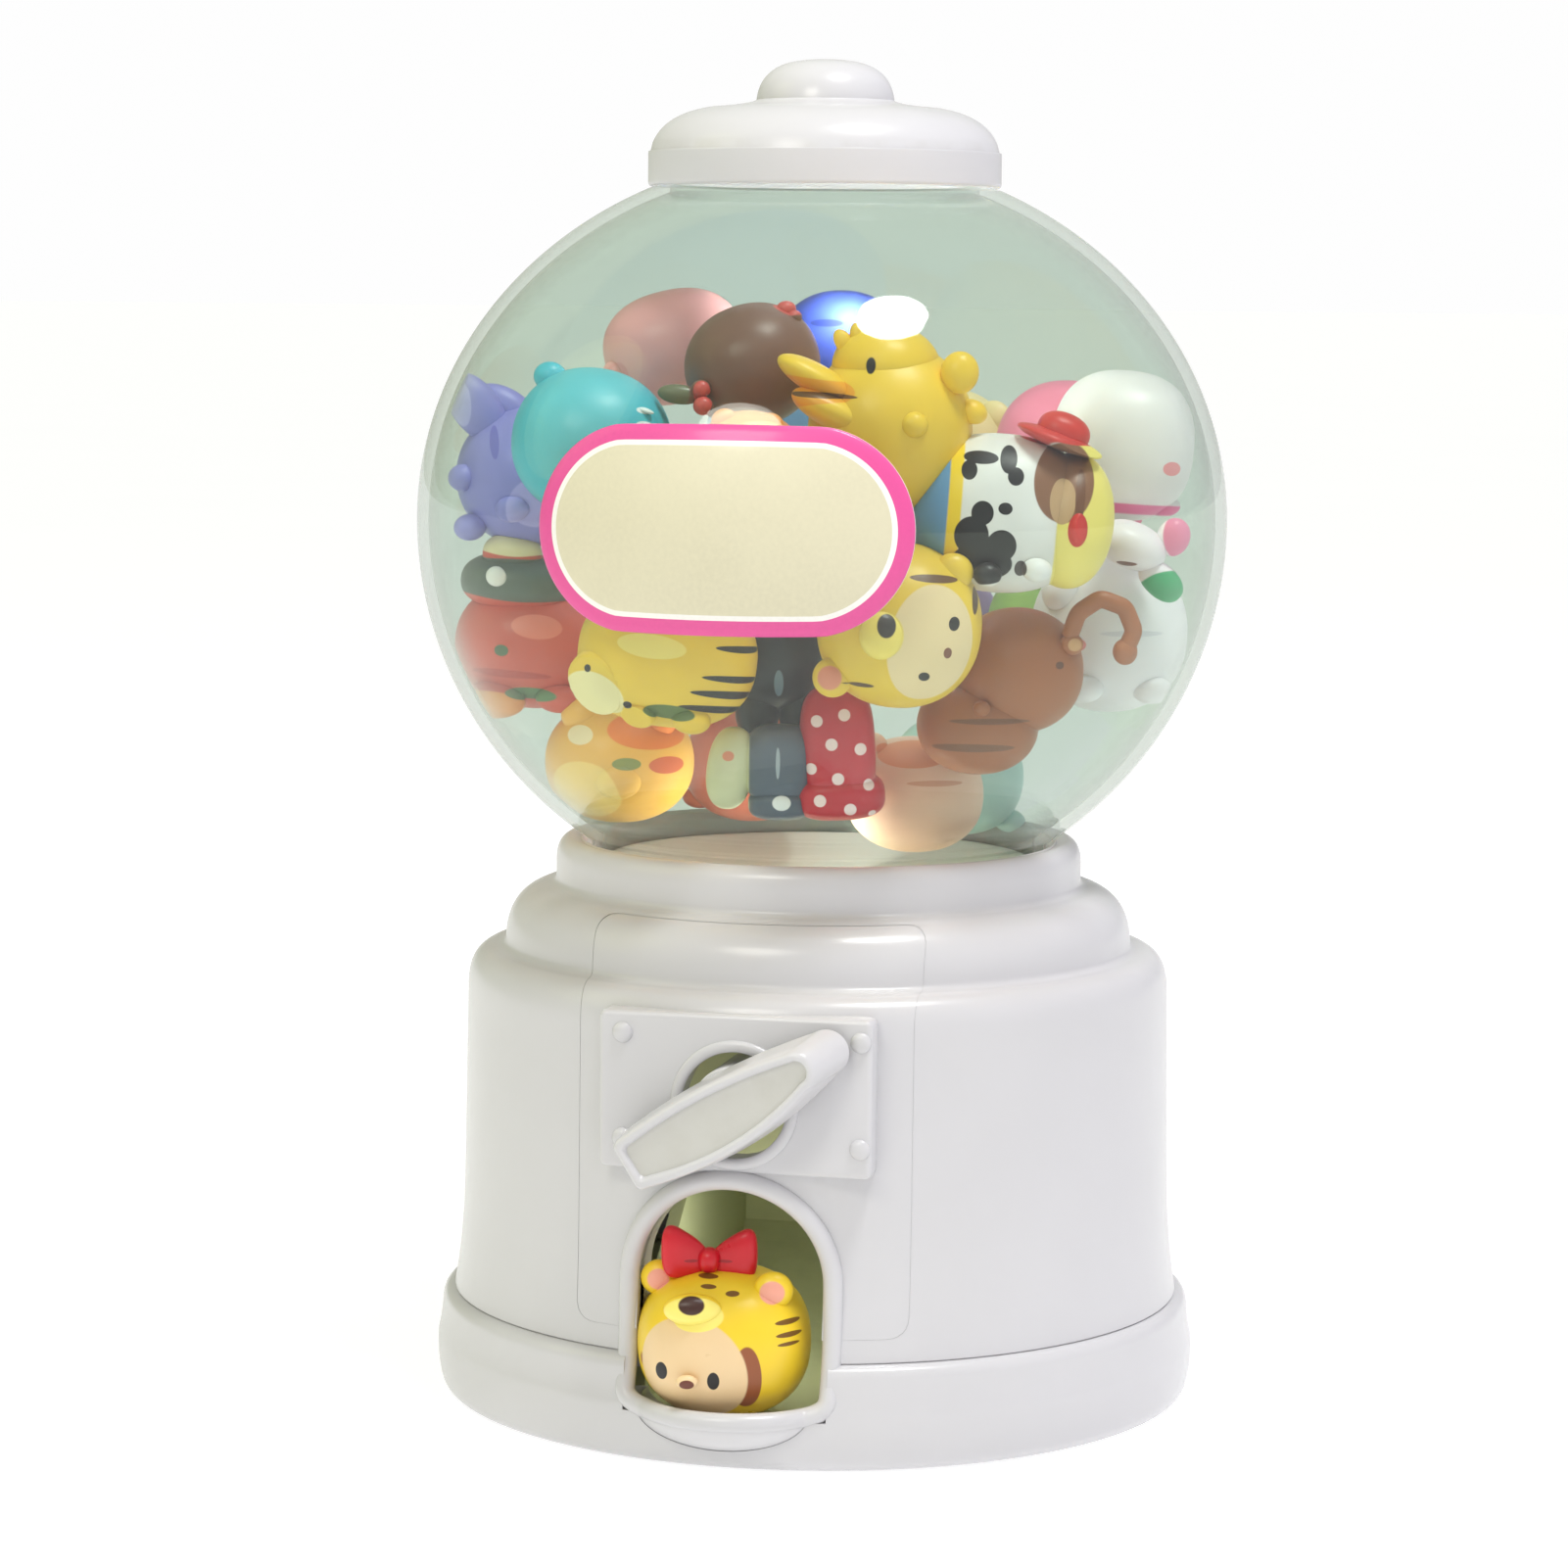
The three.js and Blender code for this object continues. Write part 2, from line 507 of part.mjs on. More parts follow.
// ---------- contents: small one-colour toys, listed by place ----------
// turn is degrees from the front towards +X, out is the distance from the axis.
const TOYS = [
  { name: "toy_lilac", color: 0x8f8fd8, turn: -70, out: 31, z: 98, size: [8.5, 8.3, 9] },
  { name: "toy_turquoise", color: 0x35b6cc, turn: -38, out: 30.5, z: 101, size: [8.4, 8.2, 8] },
  { name: "toy_orange", color: 0xf0a050, turn: -4, out: 32, z: 98.5, size: [6, 5.8, 5.8] },
  { name: "toy_chick", color: 0xf4cb45, turn: 26, out: 27.3, z: 104, size: [9.3, 9.2, 9] },
  { name: "toy_patchwork", color: 0xe8e2d2, turn: 56, out: 31.5, z: 94, size: [9.4, 7.4, 8.2] },
  { name: "toy_white_upper", color: 0xece8e6, turn: 94, out: 30, z: 101, size: [9, 8.6, 9] },
  { name: "toy_pink", color: 0xeeb6b8, turn: -68, out: 16, z: 110, size: [8, 7, 6] },
  { name: "toy_cocoa", color: 0x7d5c4c, turn: -10, out: 18.8, z: 109, size: [7.8, 7, 7.3] },
  { name: "toy_indigo", color: 0x4457a8, turn: 150, out: 4, z: 109.5, size: [7.5, 7.5, 7] },
  { name: "toy_coral", color: 0xd8604a, turn: -72, out: 30.5, z: 79.8, size: [8.5, 8, 8] },
  { name: "toy_striped", color: 0xf0cc3a, turn: -19, out: 30.5, z: 79.5, size: [8.8, 7.6, 7.4] },
  { name: "toy_cub", color: 0xf2cf3c, turn: 27, out: 30, z: 83, size: [8.6, 8.2, 8.4] },
  { name: "toy_black", color: 0x22242c, turn: 4, out: 15, z: 81, size: [7.5, 7, 7] },
  { name: "toy_nut", color: 0x9a6434, turn: 61, out: 27.5, z: 75.5, size: [8.4, 8.2, 8] },
  { name: "toy_white_lower", color: 0xeeedf0, turn: 97, out: 30, z: 80.5, size: [8.8, 8.4, 8.8] },
  { name: "toy_blossom", color: 0xf3d9df, turn: 80, out: 35, z: 90, size: [4, 4, 4.2] },
  { name: "toy_red", color: 0xc8283a, turn: 21, out: 22, z: 69, size: [5.6, 5.6, 5.8] },
  { name: "toy_slate", color: 0x5b6070, turn: -9, out: 23.5, z: 67.5, size: [5, 5, 5] },
  { name: "toy_peach", color: 0xe6bc98, turn: 58, out: 13, z: 64.5, size: [7.5, 7, 6.8] },
  { name: "toy_apricot", color: 0xf0a848, turn: -60, out: 21.3, z: 66.8, size: [8, 7.4, 6.8] },
  { name: "toy_mint", color: 0x9fd6b8, turn: 0, out: 0, z: 94, size: [8.5, 8.5, 8] },
  { name: "toy_back_1", color: 0xe88aa2, turn: 130, out: 30, z: 99, size: [9, 8.5, 9] },
  { name: "toy_back_2", color: 0xf3e2a6, turn: 166, out: 30, z: 98, size: [9, 8.5, 9] },
  { name: "toy_back_3", color: 0x7fb4e0, turn: 202, out: 30, z: 100, size: [9, 8.5, 9] },
  { name: "toy_back_4", color: 0xb98a62, turn: 246, out: 31, z: 99, size: [10, 8.5, 9] },
  { name: "toy_back_5", color: 0x9ac46a, turn: 132, out: 30, z: 80, size: [9, 8.5, 8.5] },
  { name: "toy_back_6", color: 0xb9a2dc, turn: 168, out: 29, z: 79, size: [9, 8.5, 8.5] },
  { name: "toy_back_7", color: 0xf2c14a, turn: 204, out: 30, z: 81, size: [9, 8.5, 8.5] },
  { name: "toy_back_8", color: 0xece6dc, turn: 246, out: 30, z: 80, size: [9.5, 8.5, 8.5] },
  { name: "toy_low_1", color: 0x78c8c4, turn: 128, out: 16.5, z: 65, size: [8, 7.5, 7] },
  { name: "toy_low_2", color: 0xe0806c, turn: 218, out: 17.5, z: 65, size: [8, 7.5, 7] },
];

function heapToy({ turn, out, z, size }) {
  return ellipsoid(...size, 0, -out, z).rotate([0, 0, turn]);
}

const DELIVERED = { x: -1.1, y: -34.6, z: 10.9, size: [8.7, 8.5, 7.5], turn: -14 };

// The toy lying in the tray: a wide low head, two ears and a bow on top.
function deliveredToy() {
  const { x, y, z, size, turn } = DELIVERED;
  const ears = [-1, 1].map((side) => ellipsoid(1.8, 1.2, 1.7, side * 5.6, 0.4, 5.9, 8, 5));
  const bow = [-1, 1].map((side) => ellipsoid(2.2, 1.2, 1.7, side * 2.1, 0.8, 8, 8, 5));
  const head = ellipsoid(...size, 0, 0, 0, 16, 9);
  return joined(head, ...ears, ...bow).rotate([0, 0, turn]).translate([x, y, z]);
}

place("globe", globe(), CLEAR);
place("lid", lid(), WHITE);
place("label", label(), PAPER);
place("body_shell", bodyShell(), WHITE);
place("front_panel", frontPanel(), WHITE);
place("base_foot", baseFoot(), WHITE);
place("bottom_plate", bottomPlate(), INNER);
place("hopper", hopper(), PALE);
place("drum_housing", drumHousing(), INNER);
place("dispensing_drum", dispensingDrum(), INNER);
place("drive_shaft", pinAlongY(SHAFT.radius, SHAFT.front, SHAFT.rear), STEEL);
place("knob", knob(), WHITE);
place("rear_washer", washer(SCREW.hole, 4.2, 15.7, 16.5), STEEL);
place("rear_screw", screw(SCREW.length - 1, SCREW.headHeight, false).rotate([-90, 0, 0])
  .translate([0, 16.8 + SCREW.headHeight, AXIS_Z]), STEEL);
place("chute_ramp", chuteRamp(), INNER);
HOPPER_SCREWS.angles.forEach((angle, i) => {
  const [x, y] = onCircle(HOPPER_SCREWS.circle, angle);
  const at = HOPPER.bottom - GAP - SCREW.headHeight;
  place(`hopper_screw_${i + 1}`, screw(3.8, SCREW.headHeight, true).translate([x, y, at]), STEEL);
});
[-HOUSING_SCREW_X, HOUSING_SCREW_X].forEach((x, i) => {
  const at = HOUSING.top - HOUSING.wall - 0.1 - GAP - SCREW.headHeight;
  place(`housing_screw_${i + 1}`, screw(4, SCREW.headHeight, true).translate([x, 0, at]), STEEL);
});
FOOT_SCREWS.angles.forEach((angle, i) => {
  const [x, y] = onCircle(FOOT_SCREWS.circle, angle);
  place(`foot_screw_${i + 1}`, screw(SCREW.length, SCREW.headHeight, true).translate([x, y, 0.3]), STEEL);
});
TOYS.forEach((toy) => place(toy.name, heapToy(toy), plastic(toy.color, 0.35)));
place("toy_delivered", deliveredToy(), plastic(0xf4cf3e, 0.35));

export default machine;
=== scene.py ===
"""Toy dispenser of the gumball-machine kind: the finished look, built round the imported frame.

Profiles and offsets are in millimetres and become metres where a mesh is made. Rims, heights and
the toys' places come from the frame's boxes; the profiles between them follow the CAD's own sizes.
"""
import json
import math
import random

import bmesh
import bpy
import numpy as np
from mathutils import Euler, Matrix, Vector


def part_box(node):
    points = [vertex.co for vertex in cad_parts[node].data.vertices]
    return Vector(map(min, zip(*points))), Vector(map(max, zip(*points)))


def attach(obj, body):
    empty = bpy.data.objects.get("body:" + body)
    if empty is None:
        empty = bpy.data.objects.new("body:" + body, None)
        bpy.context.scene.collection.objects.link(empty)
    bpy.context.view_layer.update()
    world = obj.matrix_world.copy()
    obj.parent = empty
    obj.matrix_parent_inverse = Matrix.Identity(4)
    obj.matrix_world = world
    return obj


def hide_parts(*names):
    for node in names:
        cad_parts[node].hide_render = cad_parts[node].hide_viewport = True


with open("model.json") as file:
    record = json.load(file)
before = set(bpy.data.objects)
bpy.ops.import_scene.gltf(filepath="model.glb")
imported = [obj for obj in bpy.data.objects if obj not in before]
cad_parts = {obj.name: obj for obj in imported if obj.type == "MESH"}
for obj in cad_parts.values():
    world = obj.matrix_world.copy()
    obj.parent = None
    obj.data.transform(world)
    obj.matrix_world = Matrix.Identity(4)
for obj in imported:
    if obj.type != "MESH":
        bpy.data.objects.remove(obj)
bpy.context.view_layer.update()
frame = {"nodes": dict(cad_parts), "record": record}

MM = 0.001
VIEW_TURN = 12.4  # the photo looks at the object from this far round, in degrees
random.seed(7)


def node_box(name):
    """Lowest and highest corner of a CAD node, in millimetres."""
    low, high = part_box(name)
    return np.array(low) / MM, np.array(high) / MM


# ---------------------------------------------------------------- camera
def make_camera():
    """The viewing angle: front of the object turned a little to the camera's left."""
    distance, height = 0.4665, 0.116
    turn, yaw, pitch, roll = (math.radians(a) for a in (VIEW_TURN, -0.46, 6.36, 0.47))
    forward = Vector((math.sin(yaw) * math.cos(pitch), math.cos(yaw) * math.cos(pitch), -math.sin(pitch)))
    level = Vector((math.cos(yaw), -math.sin(yaw), 0))
    above = level.cross(forward)
    right = math.cos(roll) * level + math.sin(roll) * above
    up = math.cos(roll) * above - math.sin(roll) * level
    about_z = Matrix.Rotation(turn, 3, "Z")
    axes = Matrix((about_z @ right, about_z @ up, about_z @ -forward)).transposed()
    data = bpy.data.cameras.new("camera")
    data.sensor_width = 36
    data.lens = 101.6
    camera = bpy.data.objects.new("camera", data)
    place = about_z @ Vector((0, -distance, height))
    camera.matrix_world = Matrix.Translation(place) @ axes.to_4x4()
    bpy.context.scene.collection.objects.link(camera)
    bpy.context.scene.camera = camera


make_camera()


# ---------------------------------------------------------------- mesh tools
def add_object(name, vertices, faces, materials=(), face_slots=None, smooth=True):
    """A mesh object from points in millimetres."""
    mesh = bpy.data.meshes.new(name)
    mesh.from_pydata([tuple(float(c) * MM for c in v) for v in vertices], [], [tuple(f) for f in faces])
    for material in materials:
        mesh.materials.append(material)
    if face_slots is not None:
        mesh.polygons.foreach_set("material_index", face_slots)
    if smooth:
        mesh.polygons.foreach_set("use_smooth", [True] * len(mesh.polygons))
    mesh.update()
    piece = bpy.data.objects.new(name, mesh)
    bpy.context.scene.collection.objects.link(piece)
    return piece


def oval(across, out, count):
    """Points round an ellipse."""
    angles = np.linspace(0, 2 * math.pi, count, endpoint=False)
    return [(across * math.cos(a), out * math.sin(a)) for a in angles]


def bend(start, control, end, steps=12):
    """Points of a quadratic curve, without its first."""
    found = []
    for i in range(1, steps + 1):
        t = i / steps
        found.append(tuple((1 - t) ** 2 * a + 2 * t * (1 - t) * c + t * t * b
                           for a, c, b in zip(start, control, end)))
    return found


def rounded(points, steps=5):
    """A closed outline of (r, z, fillet) corners, each fillet drawn as a short curve."""
    outline = []
    for i, (r, z, fillet) in enumerate(points):
        here = np.array([r, z], float)
        if fillet <= 0:
            outline.append((r, z))
            continue
        before = np.array(points[i - 1][:2], float) - here
        after = np.array(points[(i + 1) % len(points)][:2], float) - here
        cut_in = min(fillet, 0.48 * np.linalg.norm(before))
        cut_out = min(fillet, 0.48 * np.linalg.norm(after))
        first = here + before / np.linalg.norm(before) * cut_in
        last = here + after / np.linalg.norm(after) * cut_out
        outline.append(tuple(first))
        outline += bend(tuple(first), tuple(here), tuple(last), steps)
    return outline


def lathe(name, outline, segments=192):
    """Turns an outline of (r, z) points about Z. Points on the axis close to a single vertex."""
    vertices, rings = [], []
    angles = np.linspace(0, 2 * math.pi, segments, endpoint=False)
    for r, z in outline:
        if abs(r) < 1e-6:
            rings.append([len(vertices)] * segments)
            vertices.append((0, 0, z))
        else:
            rings.append(list(range(len(vertices), len(vertices) + segments)))
            vertices += [(r * math.sin(a), -r * math.cos(a), z) for a in angles]
    faces = []
    for low, high in zip(rings, rings[1:] + rings[:1]):
        for j in range(segments):
            k = (j + 1) % segments
            face = [low[j], low[k], high[k], high[j]]
            kept = [v for n, v in enumerate(face) if v != face[n - 1]]
            if len(kept) >= 3:
                faces.append(kept)
    piece = add_object(name, vertices, faces)
    orient(piece)
    return piece


def orient(piece, weld=0.0):
    """Turns every face outwards, once vertices closer than weld, in metres, are one."""
    work = bmesh.new()
    work.from_mesh(piece.data)
    if weld:
        bmesh.ops.remove_doubles(work, verts=work.verts, dist=weld)
    bmesh.ops.recalc_face_normals(work, faces=work.faces)
    work.to_mesh(piece.data)
    work.free()


def applied(piece):
    """Bakes the modifiers into the mesh."""
    graph = bpy.context.evaluated_depsgraph_get()
    mesh = bpy.data.meshes.new_from_object(piece.evaluated_get(graph))
    piece.modifiers.clear()
    piece.data = mesh
    return piece


def carved(piece, cutter, operation="DIFFERENCE"):
    """Cuts, joins or keeps the common part, and removes the cutter."""
    step = piece.modifiers.new("carve", "BOOLEAN")
    step.operation = operation
    step.solver = "EXACT"
    step.object = cutter
    bpy.context.view_layer.update()
    applied(piece)
    bpy.data.objects.remove(cutter)
    return piece


def eased(piece, width=0.25, segments=3, angle=35):
    """Rounds the hard edges, then shades the rest smooth."""
    step = piece.modifiers.new("ease", "BEVEL")
    step.width = width * MM
    step.segments = segments
    step.limit_method = "ANGLE"
    step.angle_limit = math.radians(angle)
    step.use_clamp_overlap = True
    step.harden_normals = False
    applied(piece)
    return shaded(piece)


def shaded(piece, angle=38):
    piece.data.polygons.foreach_set("use_smooth", [True] * len(piece.data.polygons))
    piece.data.set_sharp_from_angle(angle=math.radians(angle))
    return piece


def prism(name, outline, y0, y1):
    """Fills an outline of (x, z) points between two depths."""
    count = len(outline)
    vertices = [(x, y, z) for y in (y0, y1) for x, z in outline]
    faces = [list(range(count)), list(range(2 * count - 1, count - 1, -1))]
    faces += [[i, i + count, (i + 1) % count + count, (i + 1) % count] for i in range(count)]
    piece = add_object(name, vertices, faces, smooth=False)
    orient(piece)
    return piece


def rounded_box_outline(x0, x1, z0, z1, radius):
    return rounded([(x0, z0, radius), (x1, z0, radius), (x1, z1, radius), (x0, z1, radius)], 6)


def band(low, high, size):
    """Faces between two rings of as many vertices, given by the first vertex of each."""
    around = [(j, (j + 1) % size) for j in range(size)]
    return [[low + j, low + k, high + k, high + j] for j, k in around]


def sweep(name, path, normals, section, closed=False):
    """Carries a closed section of (across, out) points along a path, with the given outward normals."""
    path = np.array(path, float)
    if closed:
        tangents = np.roll(path, -1, axis=0) - np.roll(path, 1, axis=0)
    else:
        tangents = np.gradient(path, axis=0)
    vertices, faces = [], []
    size, count = len(section), len(path)
    for point, tangent, normal in zip(path, tangents, normals):
        tangent = tangent / np.linalg.norm(tangent)
        normal = np.array(normal, float)
        normal -= tangent * (normal @ tangent)
        normal /= np.linalg.norm(normal)
        side = np.cross(tangent, normal)
        vertices += [tuple(point + side * a + normal * b) for a, b in section]
    for i in range(count if closed else count - 1):
        faces += band(i * size, (i + 1) % count * size, size)
    if not closed:
        faces.append(list(range(size - 1, -1, -1)))
        faces.append([(count - 1) * size + j for j in range(size)])
    piece = add_object(name, vertices, faces)
    orient(piece)
    return shaded(piece, 50)


def joined(name, pieces):
    """Several objects as one mesh with their material slots kept."""
    first = pieces[0]
    work = bmesh.new()
    slots = []
    for piece in pieces:
        mesh = piece.data.copy()
        mesh.transform(first.matrix_world.inverted() @ piece.matrix_world)
        shift = []
        for material in mesh.materials:
            if material not in slots:
                slots.append(material)
            shift.append(slots.index(material))
        if shift:
            for face in mesh.polygons:
                face.material_index = shift[face.material_index]
        work.from_mesh(mesh)
        bpy.data.meshes.remove(mesh)
    result = bpy.data.meshes.new(name)
    for material in slots:
        result.materials.append(material)
    work.to_mesh(result)
    work.free()
    for piece in pieces[1:]:
        bpy.data.objects.remove(piece)
    first.data = result
    first.name = name
    return first


def disc_ball(name, centre, size, material, columns=40, rows=26, power=1.0, turn=None):
    """An ellipsoid; power under 1 squares it off a little. Built pole to pole along local Z."""
    rotation = (turn or Euler((0, 0, 0))).to_matrix()
    vertices, faces = [], []

    def soft(value):
        return math.copysign(abs(value) ** power, value)

    def point(latitude, longitude):
        local = Vector((size[0] * soft(math.cos(latitude)) * soft(math.cos(longitude)),
                        size[1] * soft(math.cos(latitude)) * soft(math.sin(longitude)),
                        size[2] * soft(math.sin(latitude))))
        return tuple(rotation @ local + Vector(centre))

    vertices.append(point(-math.pi / 2, 0))
    for i in range(1, rows):
        latitude = -math.pi / 2 + math.pi * i / rows
        vertices += [point(latitude, 2 * math.pi * j / columns) for j in range(columns)]
    vertices.append(point(math.pi / 2, 0))
    top = len(vertices) - 1
    for j in range(columns):
        k = (j + 1) % columns
        faces.append((0, 1 + k, 1 + j))
        faces.append((top, top - columns + j, top - columns + k))
        for i in range(rows - 2):
            low, high = 1 + i * columns, 1 + (i + 1) * columns
            faces.append((low + j, low + k, high + k, high + j))
    return add_object(name, vertices, faces, [material])


# ---------------------------------------------------------------- materials
def new_material(name):
    material = bpy.data.materials.new(name)
    material.use_nodes = True
    nodes, links = material.node_tree.nodes, material.node_tree.links
    shader = nodes["Principled BSDF"]
    coordinates = nodes.new("ShaderNodeTexCoord")
    return material, nodes, links, shader, coordinates.outputs["Object"]


def preset(node, **numbers):
    """Sets sockets by name, with _ for a space."""
    for key, number in numbers.items():
        node.inputs[key.replace("_", " ")].default_value = number


def arithmetic(nodes, links, operation, first, second, third=None):
    """Result of a Math node; each value is a number or a socket."""
    step = nodes.new("ShaderNodeMath")
    step.operation = operation
    for socket, value in zip(step.inputs, (first, second, third)):
        if isinstance(value, bpy.types.NodeSocket):
            links.new(value, socket)
        elif value is not None:
            socket.default_value = value
    return step.outputs[0]


def roughened(nodes, links, shader, height, strength, distance):
    """Bump from a height socket, the distance in metres."""
    bump = nodes.new("ShaderNodeBump")
    preset(bump, Strength=strength, Distance=distance)
    links.new(height, bump.inputs["Height"])
    links.new(bump.outputs["Normal"], shader.inputs["Normal"])


def noise(nodes, links, where, scale, detail=2.0):
    texture = nodes.new("ShaderNodeTexNoise")
    preset(texture, Scale=scale, Detail=detail)
    links.new(where, texture.inputs["Vector"])
    return texture.outputs["Fac"]


def ramp(nodes, links, value, low, high, to_low=0.0, to_high=1.0, smooth=False):
    step = nodes.new("ShaderNodeMapRange")
    if smooth:
        step.interpolation_type = "SMOOTHSTEP"
    preset(step, From_Min=low, From_Max=high, To_Min=to_low, To_Max=to_high)
    links.new(value, step.inputs["Value"])
    return step.outputs["Result"]


def blend_colour(nodes, links, factor, first, second):
    """first and second are colours or sockets."""
    mix = nodes.new("ShaderNodeMix")
    mix.data_type = "RGBA"
    for socket, value in ((mix.inputs["Factor"], factor), (mix.inputs[6], first), (mix.inputs[7], second)):
        if isinstance(value, bpy.types.NodeSocket):
            links.new(value, socket)
        elif isinstance(value, (int, float)):
            socket.default_value = value
        else:
            socket.default_value = (*value, 1)
    return mix.outputs[2]


def linear(red, green, blue):
    """A display colour, 0 to 255, as scene-linear."""
    def one(value):
        value /= 255
        return value / 12.92 if value <= 0.04045 else ((value + 0.055) / 1.055) ** 2.4
    return (one(red), one(green), one(blue))


def moulding(name, colour, roughness=0.24, grain=0.22, crease_shade=0.22):
    """Moulded plastic: tone drift, uneven polish, orange peel, and painted shade in the creases mixed with
    specks of grime.
    """
    material, nodes, links, shader, where = new_material(name)
    darker = tuple(c * 0.95 for c in colour)
    drift = ramp(nodes, links, noise(nodes, links, where, 28, 3), 0.35, 0.65)
    tone = blend_colour(nodes, links, drift, darker, colour)
    geometry = nodes.new("ShaderNodeNewGeometry")
    # painted shade mixed with grime: creases (low pointiness) darken towards a warm grey, broken up by specks
    shaded_creases = ramp(nodes, links, geometry.outputs["Pointiness"], 0.44, 0.495, crease_shade, 0.0, True)
    specks = ramp(nodes, links, noise(nodes, links, where, 420, 4), 0.4, 0.75)
    shade_and_dirt = arithmetic(nodes, links, "MULTIPLY", shaded_creases, specks)
    shade_and_grime_tone = tuple(c * s for c, s in zip(colour, (0.72, 0.70, 0.62)))
    tone = blend_colour(nodes, links, shade_and_dirt, tone, shade_and_grime_tone)
    links.new(tone, shader.inputs["Base Color"])
    polish = noise(nodes, links, where, 60, 2)
    polish = ramp(nodes, links, polish, 0.25, 0.75, roughness * 0.9, roughness * 1.12)
    links.new(polish, shader.inputs["Roughness"])
    peel = noise(nodes, links, where, 1400, 2)
    ripple = noise(nodes, links, where, 160, 1)
    height = arithmetic(nodes, links, "MULTIPLY_ADD", ripple, 3.0, peel)
    roughened(nodes, links, shader, height, grain, 0.00003)
    preset(shader, Subsurface_Weight=0.1, Subsurface_Radius=(1.0, 0.95, 0.85), Subsurface_Scale=0.0012)
    return material


def clear_moulding(name):
    """Clear polished plastic, thin enough not to bend light: a faint tint seen through it, gloss on
    top, and a milky edge where the wall is seen at a slant. Lamps and bounced light pass freely."""
    material = bpy.data.materials.new(name)
    material.use_nodes = True
    nodes, links = material.node_tree.nodes, material.node_tree.links
    nodes.clear()
    output = nodes.new("ShaderNodeOutputMaterial")
    where = nodes.new("ShaderNodeTexCoord").outputs["Object"]
    tinted = nodes.new("ShaderNodeBsdfTransparent")
    preset(tinted, Color=(0.845, 0.89, 0.855, 1))
    mirror = nodes.new("ShaderNodeBsdfGlossy")
    preset(mirror, Color=(1, 1, 1, 1))
    scuffs = noise(nodes, links, where, 260, 5)
    links.new(ramp(nodes, links, scuffs, 0.35, 0.75, 0.02, 0.08), mirror.inputs["Roughness"])
    roughened(nodes, links, mirror, noise(nodes, links, where, 45, 1), 0.25, 0.0002)
    milk = nodes.new("ShaderNodeBsdfPrincipled")
    preset(milk, Base_Color=(0.47, 0.52, 0.48, 1), Roughness=0.3)
    slant = nodes.new("ShaderNodeLayerWeight")
    preset(slant, Blend=0.5)
    steep = arithmetic(nodes, links, "POWER", slant.outputs["Facing"], 4.5)
    shine = ramp(nodes, links, steep, 0.0, 1.0, 0.035, 0.6)
    haze = ramp(nodes, links, slant.outputs["Facing"], 0.66, 1.0, 0.0, 0.4)
    free = nodes.new("ShaderNodeBsdfTransparent")
    preset(free, Color=(0.98, 0.985, 0.98, 1))
    ray = nodes.new("ShaderNodeLightPath")
    light = arithmetic(nodes, links, "MAXIMUM", ray.outputs["Is Shadow Ray"], ray.outputs["Is Diffuse Ray"])
    layers = tinted
    for amount, layer in ((shine, mirror), (haze, milk), (light, free)):
        mix = nodes.new("ShaderNodeMixShader")
        links.new(amount, mix.inputs["Fac"])
        links.new(layers.outputs[0], mix.inputs[1])
        links.new(layer.outputs[0], mix.inputs[2])
        layers = mix
    links.new(layers.outputs[0], output.inputs["Surface"])
    return material


def metal(name, colour, roughness):
    material, nodes, links, shader, where = new_material(name)
    streaks = noise(nodes, links, where, 900, 5)
    polish = ramp(nodes, links, streaks, 0.3, 0.7, roughness * 0.7, roughness * 1.4)
    links.new(polish, shader.inputs["Roughness"])
    cloud = noise(nodes, links, where, 200, 3)
    tone = blend_colour(nodes, links, cloud, tuple(c * 0.8 for c in colour), colour)
    links.new(tone, shader.inputs["Base Color"])
    preset(shader, Metallic=1.0)
    return material


def print_ink(name, colour, roughness=0.38):
    """Printed paper under a thin gloss film."""
    material, nodes, links, shader, where = new_material(name)
    fibre = ramp(nodes, links, noise(nodes, links, where, 2200, 4), 0.3, 0.7)
    cloud = ramp(nodes, links, noise(nodes, links, where, 60, 2), 0.3, 0.7)
    tone = blend_colour(nodes, links, fibre, tuple(c * 0.94 for c in colour), colour)
    tone = blend_colour(nodes, links, cloud, tone, tuple(min(1, c * 1.05) for c in colour))
    links.new(tone, shader.inputs["Base Color"])
    preset(shader, Roughness=roughness, Coat_Weight=0.3, Coat_Roughness=0.12)
    roughened(nodes, links, shader, fibre, 0.2, 0.00002)
    return material


PAINT_EDGE = 0.12  # soft border of a painted area


def vinyl(name, colour, paint=(), roughness=0.42):
    """Soft toy vinyl with painted areas.

    paint is a list of (colour, centre, radii) in millimetres in the piece's own frame; a point
    within the radii of the centre takes that colour. A radius of 0 leaves that direction out.
    """
    material, nodes, links, shader, where = new_material(name)
    drift = ramp(nodes, links, noise(nodes, links, where, 140, 3), 0.3, 0.7)
    tone = blend_colour(nodes, links, drift, tuple(c * 0.9 for c in colour), colour)
    for patch, centre, radii in paint:
        from_centre = where
        for operation, vector in (("SUBTRACT", [c * MM for c in centre]),
                                  ("MULTIPLY", [1 / (r * MM) if r else 0 for r in radii]), ("LENGTH", None)):
            length = nodes.new("ShaderNodeVectorMath")
            length.operation = operation
            if vector:
                length.inputs[1].default_value = vector
            links.new(from_centre, length.inputs[0])
            from_centre = length.outputs[0]
        soft = PAINT_EDGE / max(radii)
        inside = ramp(nodes, links, length.outputs["Value"], 1 - soft, 1 + soft, 1, 0, True)
        tone = blend_colour(nodes, links, inside, tone, patch)
    links.new(tone, shader.inputs["Base Color"])
    polish = noise(nodes, links, where, 300, 4)
    polish = ramp(nodes, links, polish, 0.3, 0.7, roughness * 0.8, roughness * 1.2)
    links.new(polish, shader.inputs["Roughness"])
    roughened(nodes, links, shader, noise(nodes, links, where, 1800, 2), 0.18, 0.00004)
    preset(shader, Subsurface_Weight=0.12, Subsurface_Radius=(1.0, 0.8, 0.6), Subsurface_Scale=0.001)
    return material


